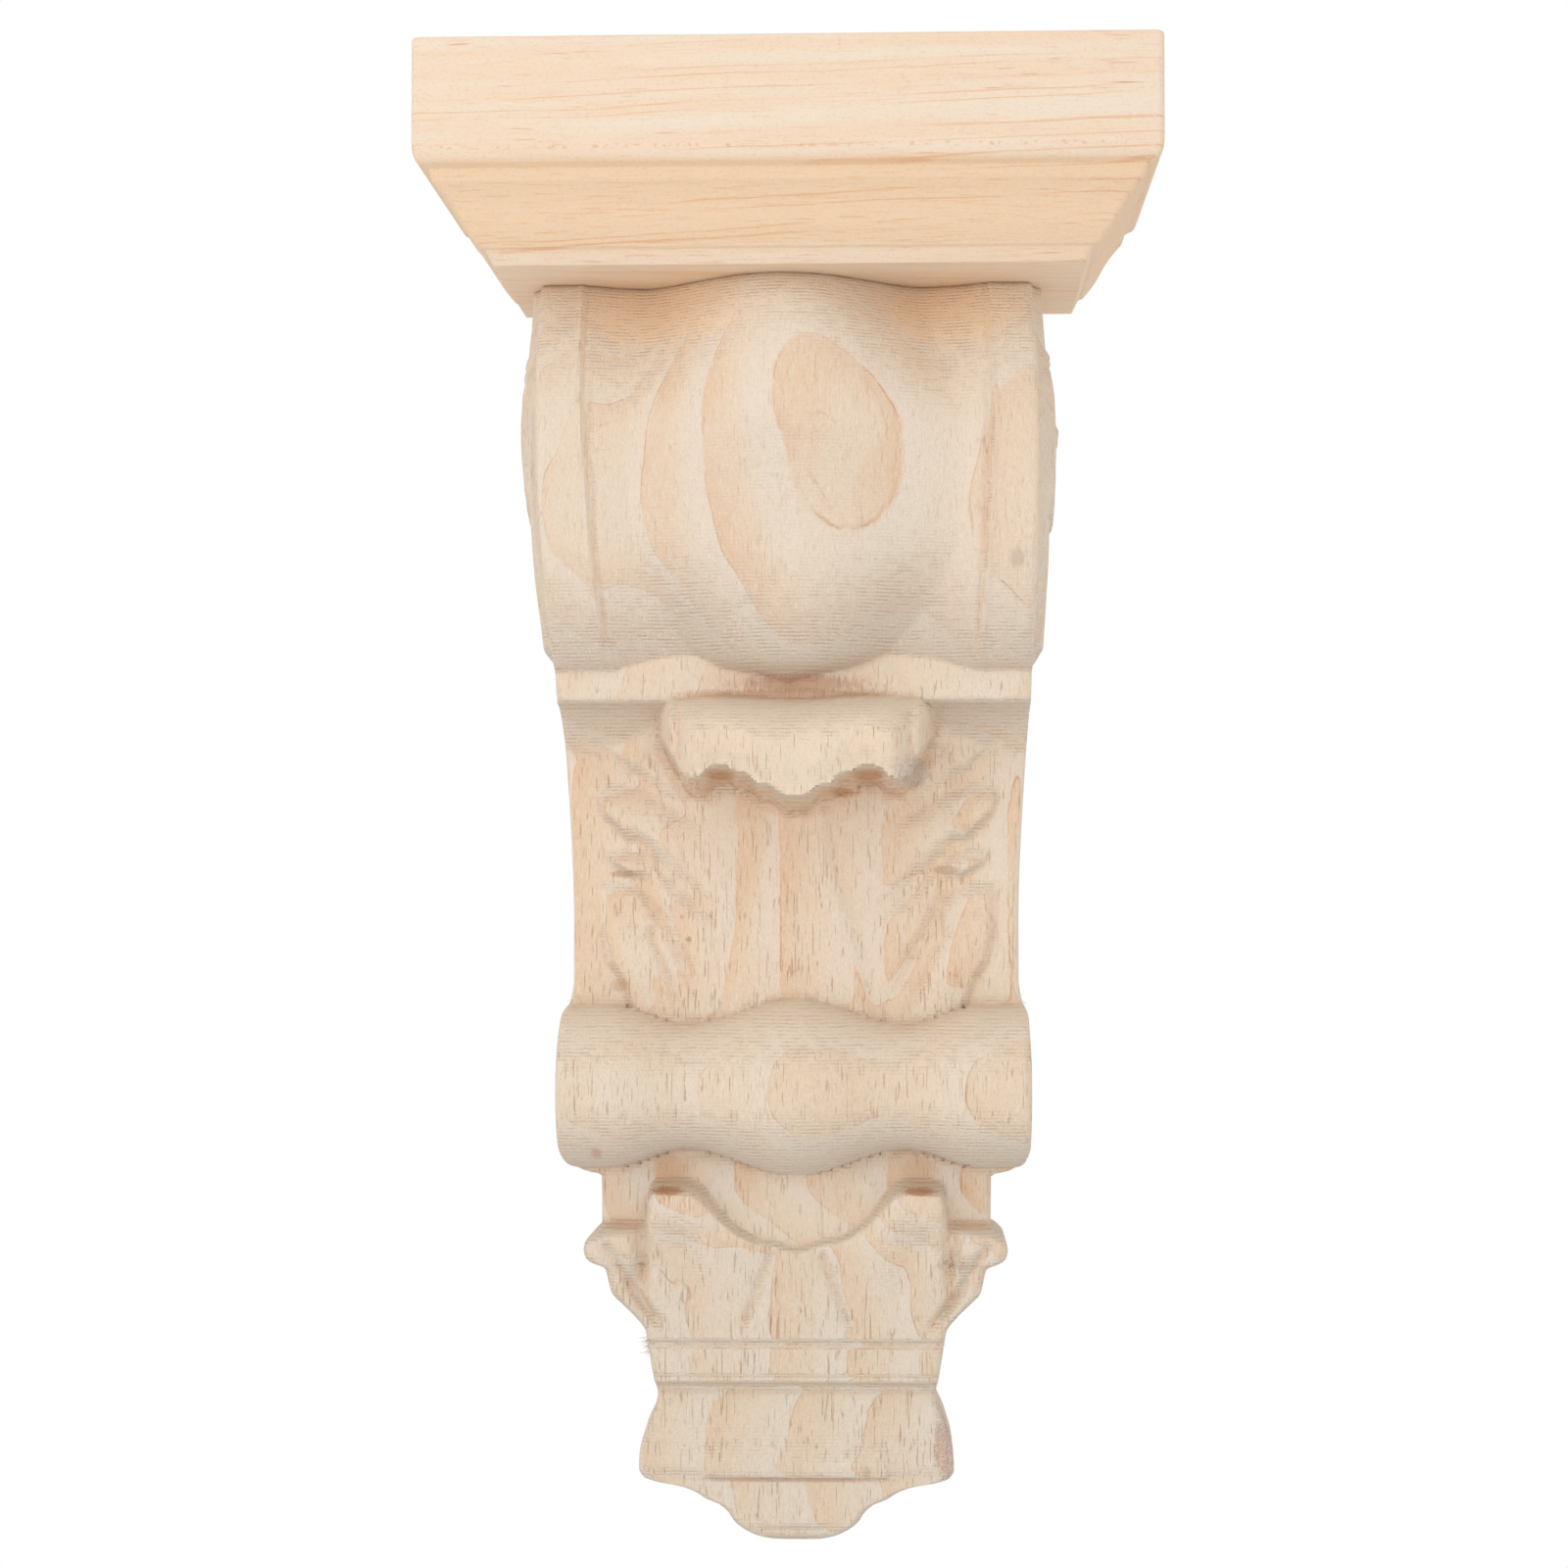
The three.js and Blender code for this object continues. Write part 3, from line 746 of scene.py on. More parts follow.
    def levels(self) -> np.ndarray:
        """Levels of the sections, closer together where the carving is finer."""
        s = self.zones
        spans = [
            (s.foot_z, s.finial_z - 0.8, 26),
            (s.finial_z - 0.8, s.finial_z + 1.2, 8),
            (s.finial_z + 1.2, s.flare_z - 1.4, 26),
            (s.flare_z - 1.4, s.flare_z + 1.2, 9),
            (s.flare_z + 1.2, s.band_z - 1.2, 8),
            (s.band_z - 1.2, s.band_z + 1.2, 9),
            (s.band_z + 1.2, s.cup_z, 66),
            (s.cup_z, s.roll_z, 54),
            (s.roll_z, s.leaf_z - self.tip_height - 3.0, 76),
            (s.leaf_z - self.tip_height - 3.0, s.leaf_z - 0.1, 54),
            (s.leaf_z - 0.1, s.leaf_z + 0.1, 1),
            (s.leaf_z + 0.1, s.fillet_z + 8.0, 30),
            (s.fillet_z + 8.0, s.joint, 74),
        ]
        parts = [np.linspace(a, b, n, endpoint=False) for a, b, n in spans]
        return np.append(np.concatenate(parts), s.joint)

    def sections(self) -> np.ndarray:
        """The level sections, each from the back left round the front to the back right."""
        z = self.levels()[:, None]
        core = np.linspace(-1.0, 1.0, self.front_columns)
        half = self.half_width(z)
        inset = self.depths.arris * np.linspace(1.0, 0.0, self.edge_columns) ** 1.5
        left = -half + inset[::-1]
        x = np.concatenate([left, core[1:-1] * (half - 1.02 * self.depths.arris), -left[:, ::-1]], axis=1)
        zz = np.broadcast_to(z, x.shape)
        depth = self.front_depth(x, zz)
        edge = np.clip(1.0 - (half - np.abs(x)) / self.depths.arris, 0.0, 1.0)
        depth = depth - self.depths.arris * (1.0 - np.sqrt(1.0 - edge**2))
        shares = np.linspace(0.0, 1.0, self.side_columns, endpoint=False) ** 0.8
        left_depth = shares[None, :] * depth[:, :1]
        right_depth = shares[None, ::-1] * depth[:, -1:]
        side_z = np.broadcast_to(z, left_depth.shape)
        left_x = -half - self.side_relief(left_depth, side_z, depth[:, :1])
        right_x = half + self.side_relief(right_depth, side_z, depth[:, -1:])
        leaf_z = self.zones.leaf_z
        lean = -self.lean * np.clip((z - leaf_z) / (self.zones.joint - leaf_z), 0.0, 1.0)
        across = np.concatenate([left_x, x, right_x], axis=1) + lean
        out = -np.concatenate([left_depth, depth, right_depth], axis=1)
        return np.stack([across, out, np.broadcast_to(z, across.shape)], axis=2)

    def hollows(self, sections: np.ndarray) -> np.ndarray:
        """How deep each corner lies in a hollow of the carving, from 0 to 1, with the band under the curled
        tip's lip added; the finish darkens both as painted shade.

        Args:
            sections: The level sections, as from sections().

        Returns:
            Array of rows by corners.
        """
        x, depth, z = sections[..., 0], -sections[..., 1], sections[..., 2]
        half = self.half_width(z)
        here = self.front_depth(np.clip(x, -half, half), z)
        hollow = np.zeros(x.shape)
        for radius, full in ((1.2, 0.45), (3.0, 4.0)):
            around = np.zeros(x.shape)
            for turn in np.arange(8) * 0.25 * np.pi:
                near_z = np.clip(z + radius * np.sin(turn), self.zones.foot_z, self.zones.joint)
                around += self.front_depth(np.clip(x + radius * np.cos(turn), -half, half), near_z) / 8.0
            hollow += smoothstep(around - here, 0.12 * full, full)
        # Less painted shade and fewer marks on the neck, in the cove and under the cap, more on the tip's
        # lip.
        neck = smoothstep(z, -48.0, -45.0) * (1.0 - smoothstep(z, -35.0, -32.0))
        cove = smoothstep(z, 38.0, 41.0) * (1.0 - smoothstep(z, 48.5, 49.5))
        cove = cove * smoothstep(np.abs(x), 24.0, 27.0)
        hollow *= smoothstep(z, self.zones.foot_z + 1.0, self.zones.foot_z + 3.0)
        hollow *= 1.0 - 0.85 * neck - 0.75 * smoothstep(z, 98.0, 114.0) - 0.6 * cove
        # The band under the curled tip's lip, where painted shade and torn fibres gather.
        top = self.zones.leaf_z + self.tip_overlap
        scallops = curve_through(self.tip_scallops, np.abs(x - 0.4) / self.tip_half_width)
        edge = top - self.tip_height * (1.0 - scallops)
        lip = smoothstep(z, edge - 3.4, edge - 2.4) * (1.0 - smoothstep(z, edge - 0.5, edge))
        lip = lip * (1.0 - smoothstep(np.abs(x), 22.0, 25.0))
        return (np.clip(hollow, 0.0, 1.0) + lip) * (depth > here - 2.0 * self.depths.arris)

    def tufts(self, sections: np.ndarray) -> np.ndarray:
        """Where torn fibres stand in tufts, from 0 to 1.

        Args:
            sections: The level sections, as from sections().

        Returns:
            Array of rows by corners.
        """
        x, depth, z = sections[..., 0], -sections[..., 1], sections[..., 2]
        share = np.zeros(x.shape)
        for across, level, radius in self.tuft_spots:
            share = np.maximum(share, 1.0 - np.hypot(x - across, z - level) / radius)
        return np.clip(share, 0.0, 1.0) * (depth > 0.7 * self.depths.waist)

    def build(self) -> bpy.types.Object:
        """Builds the carved block.

        Returns:
            The object, riding on the fixed body and replacing its solid.
        """
        sections = self.sections()
        piece = closed_loft("Carved_body", sections)
        hollow = piece.data.attributes.new(HOLLOW, "FLOAT", "POINT")
        hollow.data.foreach_set("value", self.hollows(sections).ravel().astype(np.float32))
        tuft = piece.data.attributes.new(TUFT, "FLOAT", "POINT")
        tuft.data.foreach_set("value", self.tufts(sections).ravel().astype(np.float32))
        sharpen(piece, 62.0)
        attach(piece, "root")
        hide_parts("carved_body")
        LOG.info("carved body: %d faces", len(piece.data.polygons))
        return piece


# The moulded cap


@dataclass
class Cap:
    """The moulded block under the counter, cut on its front and both sides."""

    soffit_z: float = 122.5
    half_width: float = 62.6
    depth: float = 62.6
    moulding: float = 12.1
    fascia: float = 21.2
    bead: float = 2.6
    bead_setback: float = 3.0
    cove: float = 10.0
    fillet: float = 2.4
    fillet_out: float = 1.0
    quirk: float = 0.6
    corner: float = 1.2
    nosing_height: float = 3.2
    nosing_setback: float = 1.5
    corner_steps: int = 6

    def profile(self) -> list[Point]:
        """The moulding from the soffit up, as (height over the soffit, setback from the fascia)."""
        bead_foot = self.fillet + self.cove
        nosing_foot = bead_foot + self.bead
        top = nosing_foot + self.fascia
        cove_out = self.moulding - self.fillet_out
        points = [(0.0, self.moulding + 0.2), (0.2, self.moulding)]
        points += [(self.fillet - 0.25, cove_out + 0.06), (self.fillet, cove_out - 0.1)]
        points += [(self.fillet + 0.2, cove_out - self.quirk)]
        for t in np.linspace(0.03, 0.98, 25):
            ogee = t + 0.04 * math.sin(2.0 * math.pi * t)
            setback = lerp(cove_out - self.quirk, self.bead_setback + 0.25, ogee)
            points.append((lerp(self.fillet, bead_foot, t), setback))
        points += [(bead_foot + 0.05, self.bead_setback + 0.15), (bead_foot + 0.3, self.bead_setback)]
        points += [(nosing_foot - 0.5, self.bead_setback - self.quirk)]
        for turn in np.linspace(0.0, 0.5 * math.pi, 10):
            height = nosing_foot + self.nosing_height * (1.0 - math.cos(turn))
            points.append((height, self.nosing_setback * (1.0 - math.sin(turn))))
        for turn in np.linspace(0.0, 0.5 * math.pi, 5):
            points.append((top - 0.7 * (1.0 - math.sin(turn)), 0.7 * (1.0 - math.cos(turn))))
        return points

    def sections(self) -> np.ndarray:
        """Level sections of the cap, square at the back and rounded at the front corners."""
        rows = []
        turns = np.linspace(0.0, 0.5 * math.pi, self.corner_steps)
        for height, setback in self.profile():
            half, depth = self.half_width - setback, self.depth - setback
            corner_x = half - self.corner * (1.0 - np.sin(turns))
            corner_y = -(depth - self.corner * (1.0 - np.cos(turns)))
            across = np.concatenate([[-half], -corner_x[::-1], corner_x, [half]])
            out = np.concatenate([[0.0], corner_y[::-1], corner_y, [0.0]])
            rows.append(np.stack([across, out, np.full(across.shape, self.soffit_z + height)], axis=1))
        return np.array(rows)

    def build(self) -> bpy.types.Object:
        """Builds the cap.

        Returns:
            The object, riding on the fixed body and replacing its solid.
        """
        piece = closed_loft("Moulded_cap", self.sections())
        sharpen(piece, 24.0)
        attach(piece, "root")
        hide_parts("cap")
        LOG.info("cap: %d faces", len(piece.data.polygons))
        return piece


# Torn fibres


@dataclass
class TornFibres:
    """Fine torn wood fibres that stand on the lips and in the hollows of the carving.

    A Geometry Nodes tree scatters tapered slivers over the body where one of its attributes is
    high, stands each on the surface with a random lean and scales its length at random.
    """

    host: bpy.types.Object
    name: str = "Torn_fibres"
    where: str = HOLLOW
    density: float = 260000.0
    least: float = 0.6
    shortest: float = 0.5
    longest: float = 1.3
    radius: float = 0.05
    lean: float = 1.35
    seed: int = 11

    def tree(self, material: bpy.types.Material) -> bpy.types.NodeTree:
        """Writes the Geometry Nodes tree.

        Args:
            material: Finish of the fibres.

        Returns:
            The tree, with named inputs for density, least value, length, radius, lean and seed.
        """
        tree = bpy.data.node_groups.new(self.name, "GeometryNodeTree")
        tree.interface.new_socket("Geometry", in_out="INPUT", socket_type="NodeSocketGeometry")
        for name in ("Density", "Least", "Shortest", "Longest", "Radius", "Lean"):
            tree.interface.new_socket(name, in_out="INPUT", socket_type="NodeSocketFloat")
        tree.interface.new_socket("Seed", in_out="INPUT", socket_type="NodeSocketInt")
        tree.interface.new_socket("Geometry", in_out="OUTPUT", socket_type="NodeSocketGeometry")
        new, link = tree.nodes.new, tree.links.new
        entry, leave = new("NodeGroupInput"), new("NodeGroupOutput")

        value = new("GeometryNodeInputNamedAttribute")
        value.data_type = "FLOAT"
        value.inputs["Name"].default_value = self.where
        chosen = new("FunctionNodeCompare")
        chosen.data_type = "FLOAT"
        chosen.operation = "GREATER_THAN"
        link(value.outputs["Attribute"], chosen.inputs["A"])
        link(entry.outputs["Least"], chosen.inputs["B"])

        scatter = new("GeometryNodeDistributePointsOnFaces")
        link(entry.outputs["Geometry"], scatter.inputs["Mesh"])
        link(chosen.outputs["Result"], scatter.inputs["Selection"])
        link(entry.outputs["Density"], scatter.inputs["Density"])
        link(entry.outputs["Seed"], scatter.inputs["Seed"])

        sliver = new("GeometryNodeMeshCone")
        sliver.inputs["Vertices"].default_value = 3
        sliver.inputs["Depth"].default_value = 1.0
        link(entry.outputs["Radius"], sliver.inputs["Radius Bottom"])

        turn = new("FunctionNodeRandomValue")
        turn.data_type = "FLOAT_VECTOR"
        turn.inputs["Min"].default_value = (-1.0, -1.0, -1.0)
        link(entry.outputs["Seed"], turn.inputs["Seed"])
        lean = new("ShaderNodeVectorMath")
        lean.operation = "SCALE"
        link(turn.outputs["Value"], lean.inputs[0])
        link(entry.outputs["Lean"], lean.inputs["Scale"])
        stand = new("FunctionNodeRotateRotation")
        stand.rotation_space = "LOCAL"
        link(scatter.outputs["Rotation"], stand.inputs["Rotation"])
        link(lean.outputs["Vector"], stand.inputs["Rotate By"])

        length = new("FunctionNodeRandomValue")
        length.data_type = "FLOAT"
        link(entry.outputs["Shortest"], length.inputs["Min"])
        link(entry.outputs["Longest"], length.inputs["Max"])
        link(entry.outputs["Seed"], length.inputs["Seed"])
        size = new("ShaderNodeCombineXYZ")
        size.inputs["X"].default_value = 1.0
        size.inputs["Y"].default_value = 1.0
        link(length.outputs["Value"], size.inputs["Z"])

        place = new("GeometryNodeInstanceOnPoints")
        link(scatter.outputs["Points"], place.inputs["Points"])
        link(sliver.outputs["Mesh"], place.inputs["Instance"])
        link(stand.outputs["Rotation"], place.inputs["Rotation"])
        link(size.outputs["Vector"], place.inputs["Scale"])
        real = new("GeometryNodeRealizeInstances")
        dress = new("GeometryNodeSetMaterial")
        dress.inputs["Material"].default_value = material
        link(place.outputs["Instances"], real.inputs["Geometry"])
        link(real.outputs["Geometry"], dress.inputs["Geometry"])
        link(dress.outputs["Geometry"], leave.inputs["Geometry"])
        return tree

    def build(self, material: bpy.types.Material) -> bpy.types.Object:
        """Grows the fibres and freezes them into one mesh.

        Args:
            material: Finish of the fibres.

        Returns:
            The object, riding on the fixed body.
        """
        tree = self.tree(material)
        carrier = bpy.data.objects.new(self.name + "_carrier", self.host.data)
        bpy.context.scene.collection.objects.link(carrier)
        modifier = carrier.modifiers.new(self.name, "NODES")
        modifier.node_group = tree
        values = {
            "Density": self.density,
            "Least": self.least,
            "Shortest": self.shortest * MM,
            "Longest": self.longest * MM,
            "Radius": self.radius * MM,
            "Lean": self.lean,
            "Seed": self.seed,
        }
        for item in tree.interface.items_tree:
            if item.name in values:
                modifier[item.identifier] = values[item.name]
        bpy.context.view_layer.update()
        evaluated = carrier.evaluated_get(bpy.context.evaluated_depsgraph_get())
        mesh = bpy.data.meshes.new_from_object(evaluated)
        mesh.name = self.name
        carrier.modifiers.remove(modifier)
        bpy.data.objects.remove(carrier)
        piece = bpy.data.objects.new(self.name, mesh)
        bpy.context.scene.collection.objects.link(piece)
        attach(piece, "root")
        LOG.info("%s: %d faces", self.name, len(mesh.polygons))
        return piece


# Finishes


class Socket(Enum):
    """Names of the shader sockets that the finishes set."""

    COLOUR = "Base Color"
    ROUGHNESS = "Roughness"
    NORMAL = "Normal"
    SPECULAR = "Specular IOR Level"


@dataclass
class Graph:
    """A thin writer for one material's node tree."""

    material: bpy.types.Material

    def __post_init__(self) -> None:
        """Empties the tree and makes the shader and output."""
        self.material.use_nodes = True
        self.tree = self.material.node_tree
        self.tree.nodes.clear()
        self.output = self.tree.nodes.new("ShaderNodeOutputMaterial")
        self.shader = self.tree.nodes.new("ShaderNodeBsdfPrincipled")
        self.tree.links.new(self.shader.outputs[0], self.output.inputs[0])

    def feed(self, node: bpy.types.Node, index, value) -> None:
        """Links or sets one input.

        Args:
            node: The node.
            index: The input's name or number.
            value: An output socket to link, or a constant.
        """
        if isinstance(value, bpy.types.NodeSocket):
            self.tree.links.new(value, node.inputs[index])
        elif value is not None:
            node.inputs[index].default_value = value

    def math(self, operation: str, a, b=None, c=None):
        """One Math node.

        Args:
            operation: Blender's name of the operation.
            a: First input, a socket or a number.
            b: Second input.
            c: Third input.

        Returns:
            The node's output socket.
        """
        node = self.tree.nodes.new("ShaderNodeMath")
        node.operation = operation
        for index, value in enumerate((a, b, c)):
            self.feed(node, index, value)
        return node.outputs[0]

    def position(self):
        """Object coordinates as three sockets in millimetres, and as one vector socket."""
        where = self.tree.nodes.new("ShaderNodeTexCoord")
        scale = self.tree.nodes.new("ShaderNodeVectorMath")
        scale.operation = "SCALE"
        self.feed(scale, 0, where.outputs["Object"])
        scale.inputs["Scale"].default_value = 1.0 / MM
        split = self.tree.nodes.new("ShaderNodeSeparateXYZ")
        self.feed(split, 0, scale.outputs[0])
        return split.outputs[0], split.outputs[1], split.outputs[2], scale.outputs[0]

    def stretch(self, vector, sizes: tuple[float, float, float]):
        """Object coordinates multiplied along each axis."""
        node = self.tree.nodes.new("ShaderNodeVectorMath")
        node.operation = "MULTIPLY"
        self.feed(node, 0, vector)
        node.inputs[1].default_value = sizes
        return node.outputs[0]

    def attribute(self, name: str):
        """Number of the mesh's own attribute."""
        node = self.tree.nodes.new("ShaderNodeAttribute")
        node.attribute_name = name
        return node.outputs["Fac"]

    def facing_up(self):
        """Upward part of the surface's normal, from -1 to 1."""
        normal = self.tree.nodes.new("ShaderNodeNewGeometry").outputs["Normal"]
        split = self.tree.nodes.new("ShaderNodeSeparateXYZ")
        self.feed(split, 0, normal)
        return split.outputs[2]

    def times(self, *factors):
        """Product of sockets and numbers."""
        product = factors[0]
        for factor in factors[1:]:
            product = self.math("MULTIPLY", product, factor)
        return product

    def tint(self, colour, share, target: Colour):
        """Mixes a share of one flat colour into a colour."""
        return self.mix(share, colour, (*target, 1.0))

    def noise(
        self, vector, scale: float, detail: float = 2.0, roughness: float = 0.5, distortion: float = 0.0
    ):
        """Noise texture's value, about 0.5 in the middle."""
        node = self.tree.nodes.new("ShaderNodeTexNoise")
        self.feed(node, "Vector", vector)
        node.inputs["Scale"].default_value = scale
        node.inputs["Detail"].default_value = detail
        node.inputs["Roughness"].default_value = roughness
        node.inputs["Distortion"].default_value = distortion
        return node.outputs["Fac"]

    def ramp(self, value, stops: list[tuple[float, Colour]]):
        """Colour ramp over a value.

        Args:
            value: The socket to read.
            stops: Places and linear colours in rising order.

        Returns:
            The colour socket.
        """
        node = self.tree.nodes.new("ShaderNodeValToRGB")
        elements = node.color_ramp.elements
        elements[0].position, elements[0].color = stops[0][0], (*stops[0][1], 1.0)
        elements[1].position, elements[1].color = stops[-1][0], (*stops[-1][1], 1.0)
        for place, colour in stops[1:-1]:
            element = elements.new(place)
            element.color = (*colour, 1.0)
        self.feed(node, 0, value)
        return node.outputs[0]

    def window(self, value, low: float, high: float):
        """Smooth step of a socket from 0 at low to 1 at high."""
        node = self.tree.nodes.new("ShaderNodeMapRange")
        node.interpolation_type = "SMOOTHSTEP"
        self.feed(node, "Value", value)
        node.inputs["From Min"].default_value = low
        node.inputs["From Max"].default_value = high
        return node.outputs[0]

    def mix(self, share, a, b, blend: str = "MIX"):
        """Mixes two colours.

        Args:
            share: Share of the second, a socket or a number.
            a: First colour, a socket or four numbers.
            b: Second colour, a socket or four numbers.
            blend: Blender's name of the blend.

        Returns:
            The colour socket.
        """
        node = self.tree.nodes.new("ShaderNodeMix")
        node.data_type = "RGBA"
        node.blend_type = blend
        self.feed(node, 0, share)
        self.feed(node, 6, a)
        self.feed(node, 7, b)
        return node.outputs[2]

    def bump(self, height, distance: float, strength: float):
        """Bump node that turns a height in millimetres into a normal."""
        node = self.tree.nodes.new("ShaderNodeBump")
        node.inputs["Strength"].default_value = strength
        node.inputs["Distance"].default_value = distance * MM
        self.feed(node, "Height", height)
        return node.outputs[0]

    def finish(self, colour, roughness: float, specular: float, normal) -> None:
        """Feeds the shader.

        Args:
            colour: The colour socket.
            roughness: Roughness, the same all over.
            specular: Specular level, the same all over.
            normal: The normal socket.
        """
        self.feed(self.shader, Socket.COLOUR.value, colour)
        self.shader.inputs[Socket.ROUGHNESS.value].default_value = roughness
        self.shader.inputs[Socket.SPECULAR.value].default_value = specular
        self.feed(self.shader, Socket.NORMAL.value, normal)


def linear(red: int, green: int, blue: int) -> Colour:
    """Turns a colour as seen on a screen, each part from 11 to 255, into linear numbers."""
    return tuple(((part / 255 + 0.055) / 1.055) ** 2.4 for part in (red, green, blue))


@dataclass(frozen=True)
class MarkOrPaintedLight:
    """One small mark on the carving: a pin knot, a smudge, a patch of open end grain, or a patch of painted
    shade or painted light.
    """

    x: float
    z: float
    wide: float
    tall: float
    strength: float
    colour: Colour
    pitted: bool = False


@dataclass(frozen=True)
class ZoneTint:
    """A calmer colour over one zone of the carving, between levels that fade it in and out."""

    share: float
    colour: Colour
    levels: tuple[Point, ...]
    across: Point | None = None
    front_only: bool = False


@dataclass(frozen=True)
class Surface:
    """Sockets that every layer of the carved finish reads, in millimetres where they are lengths."""

    across: bpy.types.NodeSocket
    out: bpy.types.NodeSocket
    up: bpy.types.NodeSocket
    place: bpy.types.NodeSocket
    hollow: bpy.types.NodeSocket
    facing: bpy.types.NodeSocket
    slope: bpy.types.NodeSocket
    steep: bpy.types.NodeSocket

    @classmethod
    def read(cls, graph: Graph) -> "Surface":
        """Makes the nodes that read the surface.

        Args:
            graph: The node tree's writer.

        Returns:
            The sockets.
        """
        facing = graph.facing_up()
        tilt = graph.math("ABSOLUTE", facing)
        slope, steep = graph.window(tilt, 0.05, 0.4), graph.window(tilt, 0.5, 0.22)
        return cls(*graph.position(), graph.attribute(HOLLOW), facing, slope, steep)


@dataclass(frozen=True)
class CarvedPine:
    """Bare carved pine with upright grain: ring figure, pores, cutter marks and fuzz, with painted shade in
    its hollows, on downward slopes and at the foot.
    """

    ring_tilt: float = 0.217
    ring_first: float = 46.2
    ring_wide: float = 6.2
    ring_second: float = 33.8
    ring_narrow: float = 2.9
    ring_warp: float = 1.3
    ring_bends: tuple[tuple[float, float, float], ...] = (
        (0.8, 95.0, 83.0),
        (-0.8, 76.0, 68.0),
        (2.55, 60.0, 30.0),
        (2.1, -2.0, -10.0),
        (-3.05, -36.0, -50.0),
        (1.4, -68.0, -76.0),
        (-1.2, -76.0, -86.0),
    )
    ring_wiggle: float = 0.32
    ring_lean: float = -0.052
    ring_wander: float = 16.0
    pass_pitch: float = 0.62
    roughness: float = 0.74
    specular: float = 0.2
    white: Colour = linear(245, 230, 213)
    cream: Colour = linear(245, 227, 205)
    tan: Colour = linear(245, 220, 192)
    deep: Colour = linear(241, 203, 167)
    line: Colour = linear(205, 150, 112)
    pore: Colour = linear(186, 126, 84)
    # Brown of the grain's streaks, also used as painted shade in the hollows.
    streak_and_shade_brown: Colour = linear(216, 168, 130)
    bobbin: Colour = linear(239, 221, 197)
    end_up: Colour = linear(240, 221, 198)
    # Greyer end grain of downward-facing slopes, darker as painted shade.
    end_grain_down_and_shade: Colour = linear(216, 203, 186)
    zone_tints: tuple[ZoneTint, ...] = (
        ZoneTint(0.75, cream, ((33.0, 36.0), (53.0, 50.0)), across=(27.0, 22.0)),
        ZoneTint(0.6, bobbin, ((-36.0, -31.0), (2.0, -4.0))),
        ZoneTint(0.5, tan, ((-36.0, -42.0),)),
        ZoneTint(0.25, cream, ((54.0, 60.0),), front_only=True),
        ZoneTint(0.4, cream, ((54.0, 60.0),), across=(21.5, 23.5), front_only=True),
        ZoneTint(0.65, cream, ((44.0, 47.0), (59.0, 56.0)), front_only=True),
        ZoneTint(0.35, tan, ((-4.0, 0.0), (49.0, 45.0)), front_only=True),
        ZoneTint(0.5, cream, ((102.0, 114.0),)),
    )
    marks_and_painted_light: tuple[MarkOrPaintedLight, ...] = (
        MarkOrPaintedLight(-18.9, 7.7, 0.5, 0.6, 0.6, linear(170, 125, 90)),
        MarkOrPaintedLight(-34.4, -29.4, 0.9, 1.1, 0.45, linear(198, 132, 104)),
        MarkOrPaintedLight(38.9, 73.5, 1.3, 1.8, 0.35, linear(176, 160, 142)),
        MarkOrPaintedLight(27.2, -81.5, 2.7, 6.4, 0.6, linear(214, 176, 162), True),
        MarkOrPaintedLight(12.5, -86.2, 0.8, 1.3, 0.35, linear(196, 136, 96)),
        # Painted shade in the leaf's notches.
        MarkOrPaintedLight(-30.5, 19.3, 2.4, 0.7, 0.45, linear(176, 134, 100)),
        MarkOrPaintedLight(26.5, 20.0, 2.6, 0.8, 0.45, linear(182, 138, 102)),
        MarkOrPaintedLight(-31.0, -0.4, 1.9, 1.2, 0.4, linear(190, 146, 108)),
        # Painted shade above the cup's ears.
        MarkOrPaintedLight(-22.3, -33.2, 3.4, 2.7, 0.4, linear(220, 170, 124)),
        MarkOrPaintedLight(21.9, -33.2, 3.4, 2.7, 0.4, linear(220, 170, 124)),
        # Brown tops of the cup's ears, partly their own colour and partly painted shade.
        MarkOrPaintedLight(-22.4, -36.5, 2.9, 0.65, 0.8, linear(188, 126, 78)),
        MarkOrPaintedLight(21.8, -36.5, 2.9, 0.65, 0.8, linear(188, 126, 78)),
        # Painted shade on the band under the curled tip's lip.
        MarkOrPaintedLight(-12.5, 36.4, 2.4, 0.8, 0.6, linear(204, 148, 106)),
        MarkOrPaintedLight(8.6, 33.6, 2.6, 0.8, 0.6, linear(204, 148, 106)),
        MarkOrPaintedLight(12.8, 36.4, 3.0, 0.8, 0.6, linear(204, 148, 106)),
        MarkOrPaintedLight(-31.0, -42.6, 4.6, 1.0, 0.4, linear(212, 164, 122)),
        MarkOrPaintedLight(31.2, -42.6, 4.6, 1.0, 0.4, linear(212, 164, 122)),
        # Painted shade where the lobe meets the top of the curled tip.
        MarkOrPaintedLight(1.3, 52.4, 11.5, 1.7, 0.6, linear(200, 148, 116)),
        MarkOrPaintedLight(-1.5, 50.6, 19.0, 0.9, 0.55, linear(206, 160, 126)),
        MarkOrPaintedLight(20.6, 37.0, 3.0, 2.2, 0.55, linear(244, 232, 214), True),
        # Painted warm shade in the hollows just under the cap.
        MarkOrPaintedLight(-22.0, 117.0, 14.0, 6.0, 0.85, linear(255, 224, 190)),
        MarkOrPaintedLight(27.0, 117.0, 12.0, 6.0, 0.85, linear(255, 224, 190)),
        # Painted light: a pale patch that lightens the neck above the cup.
        MarkOrPaintedLight(0.0, -40.0, 22.0, 6.5, 0.25, linear(255, 236, 214)),
        MarkOrPaintedLight(0.0, -87.7, 16.5, 0.4, 0.5, linear(190, 140, 105)),
    )

